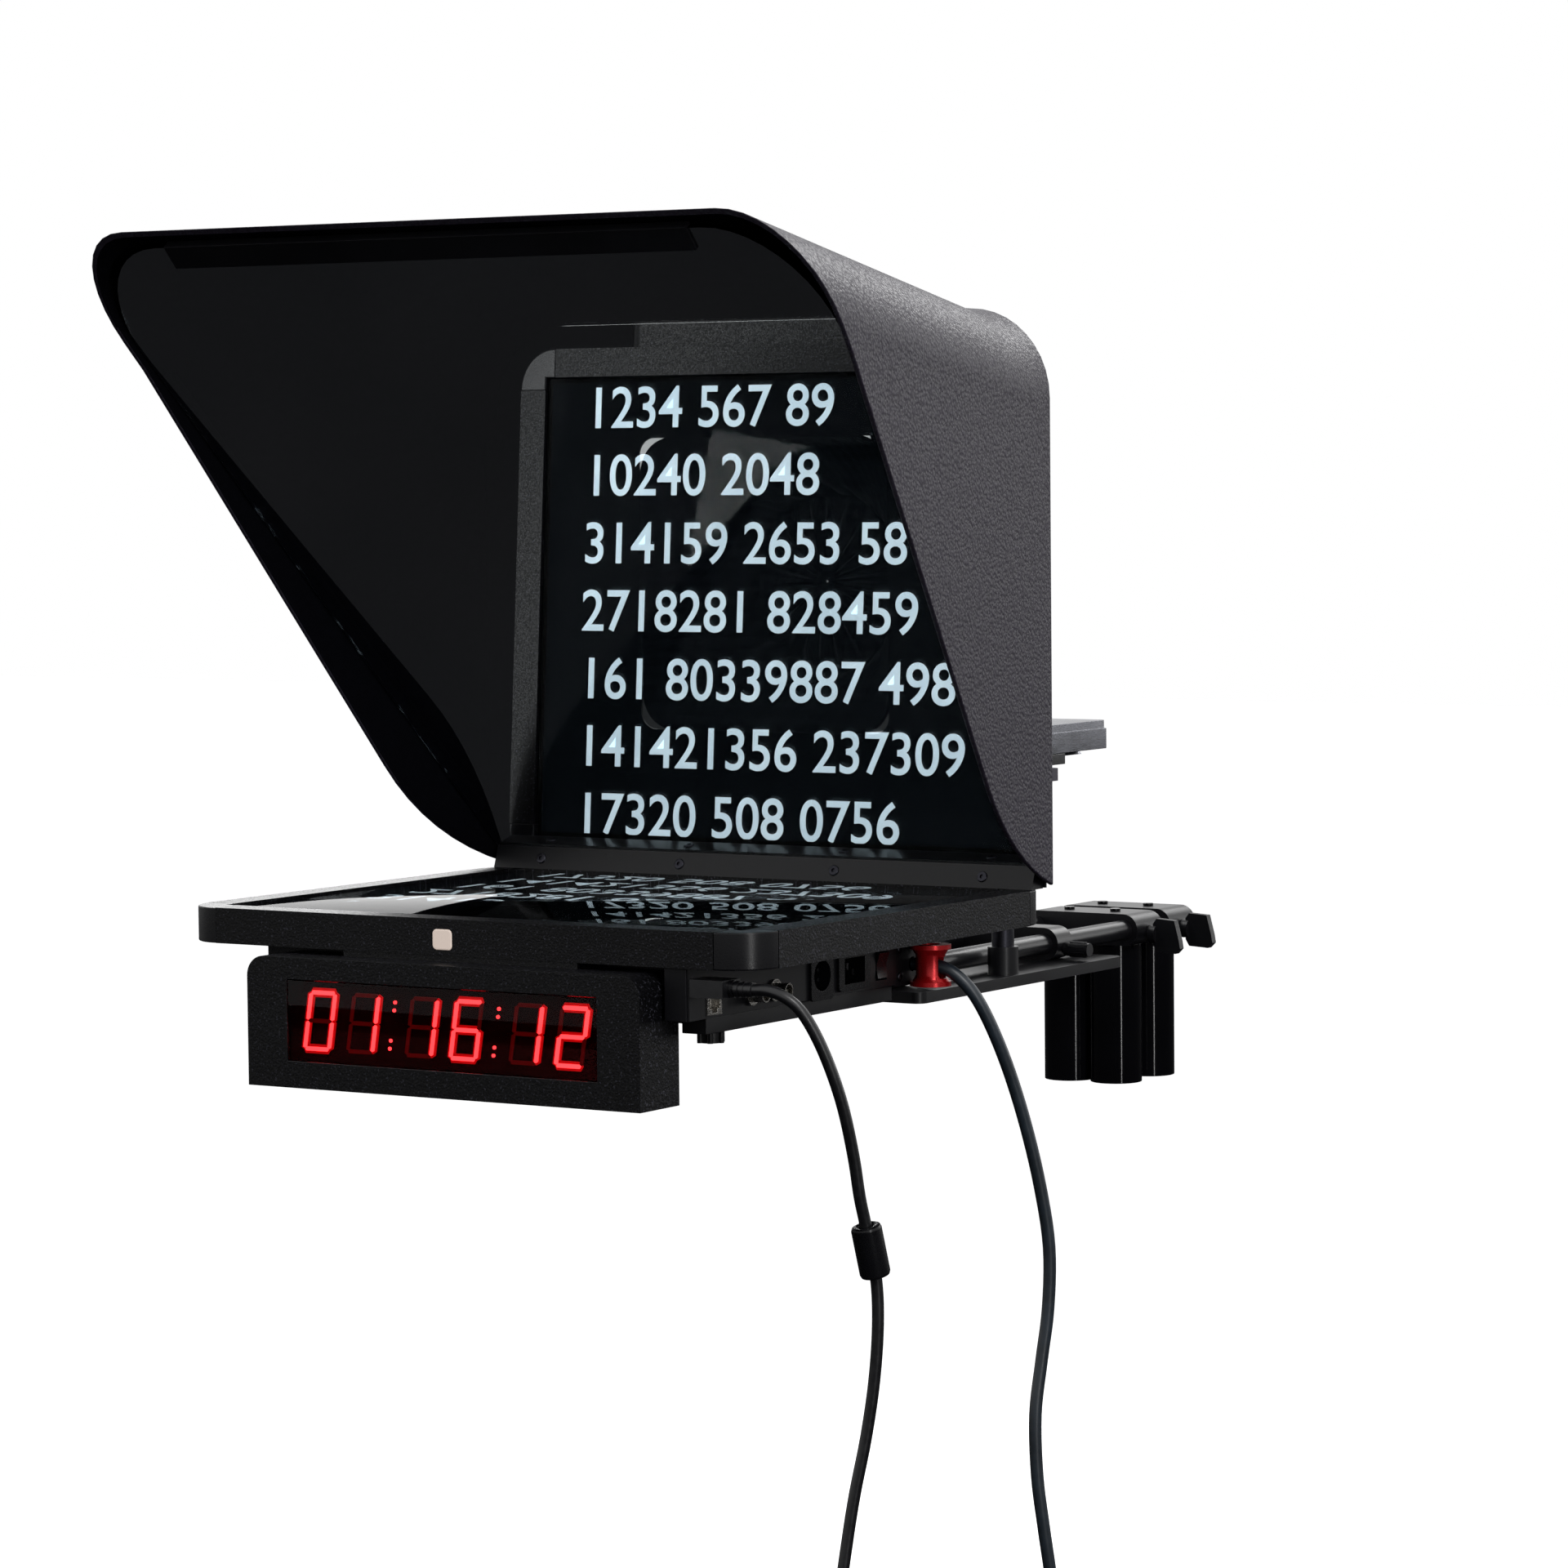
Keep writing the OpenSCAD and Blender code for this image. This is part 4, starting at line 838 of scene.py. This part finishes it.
def sleeve_point(along, around):
    """A point of the sleeve, square at the panel, round at its rim and then drawn closed in pleats."""
    angle = 2 * math.pi * around
    c, s = math.cos(angle), math.sin(angle)
    side, end = min(1, along / SIDE_SHARE), max(0, along / SIDE_SHARE - 1) / END_LENGTH
    power = 7 - 5 * min(1, 1.6 * side)
    square = (abs(c) ** power + abs(s) ** power) ** (-1 / power)
    radius = (1 - side) * PANEL_HALF * square + side * RIM_R
    belly = 3.0 * math.sin(math.pi * side)
    pleats = math.sin(angle * PLEATS + 1.3 * math.sin(3 * angle)) * 1.9 * side ** 1.5
    slow = math.sin(angle * 7 + 2.1 * side) * 1.2 * math.sin(math.pi * side)
    radius += pleats * (1 - 0.8 * end) + slow - belly
    radius = radius * (1 - end) + MOUTH_R * end
    sunk = 9 * math.sin(0.5 * math.pi * end) + pleats * 1.5 * math.sin(math.pi * end)
    y = SLEEVE_Y[0] + (SLEEVE_Y[1] - SLEEVE_Y[0]) * side - sunk
    return deck(radius * c, y, LENS_Z + radius * s)


def build_sleeve():
    """The gathered cloth behind the rear panel, with the corded hem round its mouth."""
    points, faces = [], []
    for ring in range(RINGS):
        for step in range(ROUND_STEPS):
            points.append(sleeve_point(ring / (RINGS - 1), step / ROUND_STEPS))
            if ring < RINGS - 1:
                here, after = ring * ROUND_STEPS, (ring + 1) * ROUND_STEPS
                beside = (step + 1) % ROUND_STEPS
                faces.append((here + step, after + step, after + beside, here + beside))
    mesh = bpy.data.meshes.new("lens_sleeve")
    mesh.from_pydata(points, [], faces)
    sleeve = bpy.data.objects.new("lens_sleeve", mesh)
    bpy.context.collection.objects.link(sleeve)
    only(sleeve)
    bpy.ops.object.mode_set(mode="EDIT")
    bpy.ops.mesh.select_all(action="SELECT")
    bpy.ops.mesh.normals_make_consistent(inside=False)
    bpy.ops.object.mode_set(mode="OBJECT")
    apply_modifier(sleeve, "SOLIDIFY", thickness=0.9 * MM, offset=0)
    bpy.ops.object.shade_smooth()
    settle(sleeve, "lens_sleeve", "prompter", FINISHES["cloth"], ["lens_shroud"])

    bpy.ops.object.select_all(action="DESELECT")
    centre = deck(0, HEM_Y, LENS_Z)
    bpy.ops.mesh.primitive_torus_add(
        major_radius=MOUTH_R * MM, minor_radius=HEM_THICK * MM, major_segments=88, minor_segments=14,
        location=centre, rotation=(math.pi / 2, 0, 0))
    hem = bpy.context.object
    bpy.ops.object.transform_apply(location=True, rotation=True, scale=True)
    for vertex in hem.data.vertices:
        spoke = vertex.co - centre
        angle = math.atan2(spoke.z, spoke.x)
        ripple = HEM_RIPPLE * MM * math.sin(PLEATS * angle)
        vertex.co.x += math.cos(angle) * ripple
        vertex.co.z += math.sin(angle) * ripple
    bpy.ops.object.shade_smooth()
    settle(hem, "sleeve_hem", "prompter", FINISHES["cloth"])


build_sleeve()


# ---------------------------------------------------------------- cord fittings

video_lead.data.materials.append(FINISHES["cord_black"])
mains_lead.data.materials.append(FINISHES["cord_grey"])
for cord, solids, slot in ((video_lead, ["video_cord", "video_coil"], "cord_black"),
                           (mains_lead, ["mains_cord", "mains_coil"], "cord_grey")):
    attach(cord, "prompter")
    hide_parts(*solids)


def build_tie(name, route, radius, diameter):
    """A strap round all turns of a coil, on its outer left side."""
    centre = Vector(route[-1]) - Vector((0, 0, COIL_DROP * radius))
    width = (COIL_TURNS + 1.6) * diameter
    low = centre + Vector((-radius - diameter / 2 - 1.6, -diameter / 2 - 1.6, -5))
    high = centre + Vector((-radius + diameter / 2 + 1.6, width - diameter / 2, 5))
    bpy.ops.object.select_all(action="DESELECT")
    bpy.ops.mesh.primitive_cube_add(size=1, location=(low + high) / 2 * MM)
    tie = bpy.context.object
    tie.scale = (high - low) * MM
    bpy.ops.object.transform_apply(location=True, rotation=True, scale=True)
    select_faces(tie, lambda face: abs(face.normal.z) > 0.9)
    bpy.ops.mesh.inset(thickness=1.1 * MM)
    bpy.ops.mesh.bridge_edge_loops()
    bpy.ops.object.mode_set(mode="OBJECT")
    apply_modifier(tie, "BEVEL", width=1.6 * MM, segments=4, limit_method="ANGLE",
                   angle_limit=math.radians(60), affect="EDGES")
    bpy.ops.object.shade_smooth_by_angle(angle=math.radians(50))
    return settle(tie, name, "prompter", FINISHES["cloth"])


video_tie = build_tie("video_tie", VIDEO_ROUTE, VIDEO_COIL_R, VIDEO_D)
mains_tie = build_tie("mains_tie", MAINS_ROUTE, MAINS_COIL_R, MAINS_D)


# ---------------------------------------------------------------- floor and light

FLOOR_Z = -0.9
FLOOR_GLOW = 0.93
# Strength of the world for light that falls on the object; cameras, mirrors and glass see it at 1.
WORLD_LIGHT = 0.08
# Place, aim, width and height of each lamp in metres, then its power in watts.
LAMPS = (
    ((2.8, -1.9, 2.4), (0, -0.2, 0.2), (1.0, 1.0), 50),
    ((-1.7, -0.5, 2.6), (0, -0.3, 0.1), (1.2, 0.7), 30),
    ((0.3, 2.7, 1.9), (0.1, 0, 0.2), (1.4, 0.6), 28),
    ((1.9, 3.0, 0.8), (0.2, 0, 0.2), (0.25, 1.4), 9),
    ((3.0, -1.9, 0.3), (0.1, 0, 0.0), (0.14, 1.8), 20),
    ((-2.2, 2.4, 1.6), (0, 0, 0.1), (1.2, 1.0), 30),
)


def build_floor():
    """A floor that is white to the camera and dark grey to the light that falls on the object."""
    bpy.ops.object.select_all(action="DESELECT")
    bpy.ops.mesh.primitive_plane_add(size=40, location=(0, 0, FLOOR_Z))
    floor = bpy.context.object
    floor.name = "floor"
    made, tree, shader, place = start_material("white_floor", Roughness=0.9, Specular_IOR_Level=0.1)
    ray = add_node(tree, "ShaderNodeLightPath").outputs["Is Camera Ray"]
    grain = noise(tree, place, 400, 2)
    shade = two_colours(tree, grain, "#1c1c1e", "#202022")
    colour = add_node(tree, "ShaderNodeMix", {"data_type": "RGBA"})
    tree.links.new(ray, colour.inputs[0])
    tree.links.new(shade, colour.inputs[6])
    colour.inputs[7].default_value = linear(WHITE)
    tree.links.new(colour.outputs[2], shader.inputs["Base Color"])
    shader.inputs["Emission Color"].default_value = linear(WHITE)
    glow = add_node(tree, "ShaderNodeMath", {"operation": "MULTIPLY"}, {0: ray, 1: FLOOR_GLOW}).outputs[0]
    tree.links.new(glow, shader.inputs["Emission Strength"])
    floor.data.materials.append(made)


def build_world():
    """A white world that lights the object only faintly."""
    world = bpy.data.worlds.new("studio")
    bpy.context.scene.world = world
    world.use_nodes = True
    tree = world.node_tree
    background = tree.nodes["Background"]
    path = add_node(tree, "ShaderNodeLightPath")
    shown = add_node(tree, "ShaderNodeMath", {"operation": "MAXIMUM"}, {
        0: path.outputs["Is Glossy Ray"], 1: path.outputs["Is Transmission Ray"]}).outputs[0]
    seen = add_node(tree, "ShaderNodeMath", {"operation": "MAXIMUM"}, {
        0: path.outputs["Is Camera Ray"], 1: shown}).outputs[0]
    strength = add_node(tree, "ShaderNodeMapRange", None, {
        "Value": seen, "To Min": WORLD_LIGHT, "To Max": 1.0}).outputs["Result"]
    background.inputs["Color"].default_value = linear(WHITE)
    tree.links.new(strength, background.inputs["Strength"])


def add_softbox(place, target, size, power):
    """A rectangular lamp that the camera does not see, turned to its target."""
    bpy.ops.object.light_add(type="AREA", location=place)
    lamp = bpy.context.object
    lamp.data.shape = "RECTANGLE"
    lamp.data.size, lamp.data.size_y = size
    lamp.data.energy = power
    lamp.visible_camera = False
    lamp.rotation_euler = (Vector(target) - Vector(place)).to_track_quat("-Z", "Y").to_euler()


build_floor()
build_world()
for lamp_values in LAMPS:
    add_softbox(*lamp_values)
bpy.context.scene.view_settings.view_transform = "Standard"
